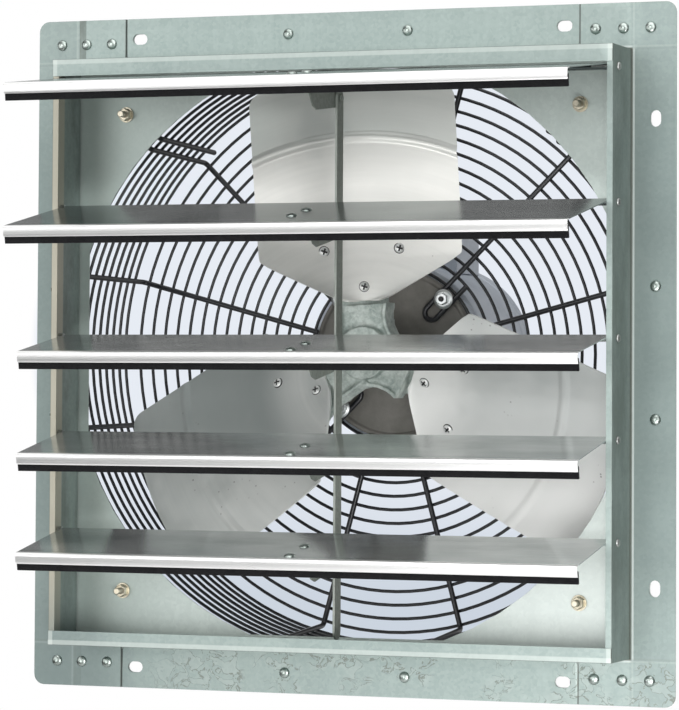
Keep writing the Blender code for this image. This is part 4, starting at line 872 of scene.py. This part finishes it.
def fasteners():
    """The flange nuts and studs at the motor, and the bolts and nuts at the panel's corners."""
    offset = STUD_CIRCLE / math.sqrt(2)
    for number, (x, z) in enumerate(((1, 1), (-1, 1), (-1, -1), (1, -1))):
        at = (x * offset, 0.0, z * offset)
        rim = turned("Y", at, [(117.2, 9.0), (116.0, 9.0), (115.2, 7.6), (114.4, 6.2)], 36, 0.2)
        nut = hexagon(at, 116.0, 110.3, 5.8)
        stud = threaded(at, 111.0, 108.8, 2.5)
        shank = turned("Y", at, [(110.5, 2.4), (122.4, 2.4)], 16)
        settle(joined([stud, shank]), f"motor_stud_{number + 1}", DARK_STEEL, "frame", "bright_zinc")
        settle(joined([rim, nut]), f"flange_nut_{number + 1}", BRIGHT_ZINC, "frame", "bright_zinc",
               f"motor_stud_nut_{number + 1}")
        at = (x * CORNER_BOLT, 0.0, z * CORNER_BOLT)
        tip = threaded(at, -3.5, -12.0, 3.0)
        shank = turned("Y", at, [(-3.8, 2.9), (10.0, 2.9)], 16)
        washer = turned("Y", at, [(9.1, 9.5), (10.3, 9.5)], 36, 0.3)
        head = hexagon(at, 9.8, 14.3, 5.8)
        settle(joined([tip, shank, washer, head]), f"corner_bolt_{number + 1}", YELLOW_ZINC, "frame", "yellow_zinc",
               f"guard_bolt_{number + 1}")
        washer = turned("Y", at, [(2.3, 7.0), (1.1, 7.0)], 36, 0.3)
        nut = hexagon(at, 1.7, -3.9, 5.8)
        settle(joined([washer, nut]), f"corner_nut_{number + 1}", YELLOW_ZINC, "frame", "yellow_zinc",
               f"guard_nut_{number + 1}")


# ---------------------------------------------------------------- wire guard

def spoke_path(points, angle):
    """Turns (sideways, radius, y) points in millimetres to their place round the fan."""
    turn = math.radians(angle)
    return [Vector((r * math.cos(turn) - s * math.sin(turn), y, r * math.sin(turn) + s * math.cos(turn))) * MM
            for s, r, y in points]


WIRE, RING_WIRE = 2.4, 1.5              # radii of the spokes and of the rings
WALL_START, WALL_END = 8.0, 115.5       # the wall along Y
WALL_RINGS, WALL_STEP = 9, 12.5
FACE_RINGS, FACE_INNER, FACE_OUTER, FACE_Y = 15, 80.0, 252.5, 123.3
SPOKE_Y = 120.0


def wall_at(y):
    """How far out a spoke's middle runs on the wall, which leans in by 8 mm towards the face."""
    return 264.9 - 8.0 * (y - WALL_START) / (WALL_END - WALL_START)


def guard():
    """The welded basket of black wire."""
    pieces = []
    rings = [(wall_at(y) + 3.3, y) for y in (WALL_START + WALL_STEP * i for i in range(WALL_RINGS))]
    rings += [(FACE_INNER + (FACE_OUTER - FACE_INNER) * i / (FACE_RINGS - 1), FACE_Y) for i in range(FACE_RINGS)]
    for radius, y in rings:
        only()
        bpy.ops.mesh.primitive_torus_add(
            major_radius=radius * MM, minor_radius=RING_WIRE * MM,
            major_segments=int(48 + radius / 4), minor_segments=8,
            location=(0.0, y * MM, 0.0), rotation=(math.radians(90), 0.0, 0.0))
        pieces.append(place(bpy.context.object))
    side = 6.6          # half the gap between the two runs of a bolted spoke
    corner = bend((wall_at(WALL_END) - 4.5, WALL_END), 4.5, 0, 90)
    plain = [(0.0, wall_at(5.2), 5.2)] + [(0.0, r, y) for r, y in corner] + [(0.0, 76.0, SPOKE_Y)]
    foot = bend((wall_at(10.9) + 4.5, 10.9), 4.5, 180, 270)
    bolted = [(-side, wall_at(118.0), 118.0)] + [(-side, r, y) for r, y in foot]
    bolted += [(-side * math.cos(math.radians(a)), 302.36 + side * math.sin(math.radians(a)), 6.4)
               for a in range(0, 181, 15)]
    bolted += [(side, r, y) for r, y in foot[::-1]] + [(side, r, y) for r, y in corner]
    bolted += [(side * math.cos(math.radians(a)), 52.6 - side * math.sin(math.radians(a)), SPOKE_Y)
               for a in range(0, 181, 15)]
    bolted += [(-side, 93.0, SPOKE_Y)]
    for number in range(12):
        angle = 15 + 30 * number
        pieces.append(wire(spoke_path(bolted if angle % 90 == 45 else plain, angle), WIRE))
    basket = joined(pieces)
    only(basket)
    bpy.ops.object.shade_smooth_by_angle(angle=math.radians(50))
    settle(basket, "welded_guard", WIRE_COAT, "frame", "black_wire", "wire_guard")


studio()
sheet_frame()
louvres()
blades()
hub()
motor()
fasteners()
guard()
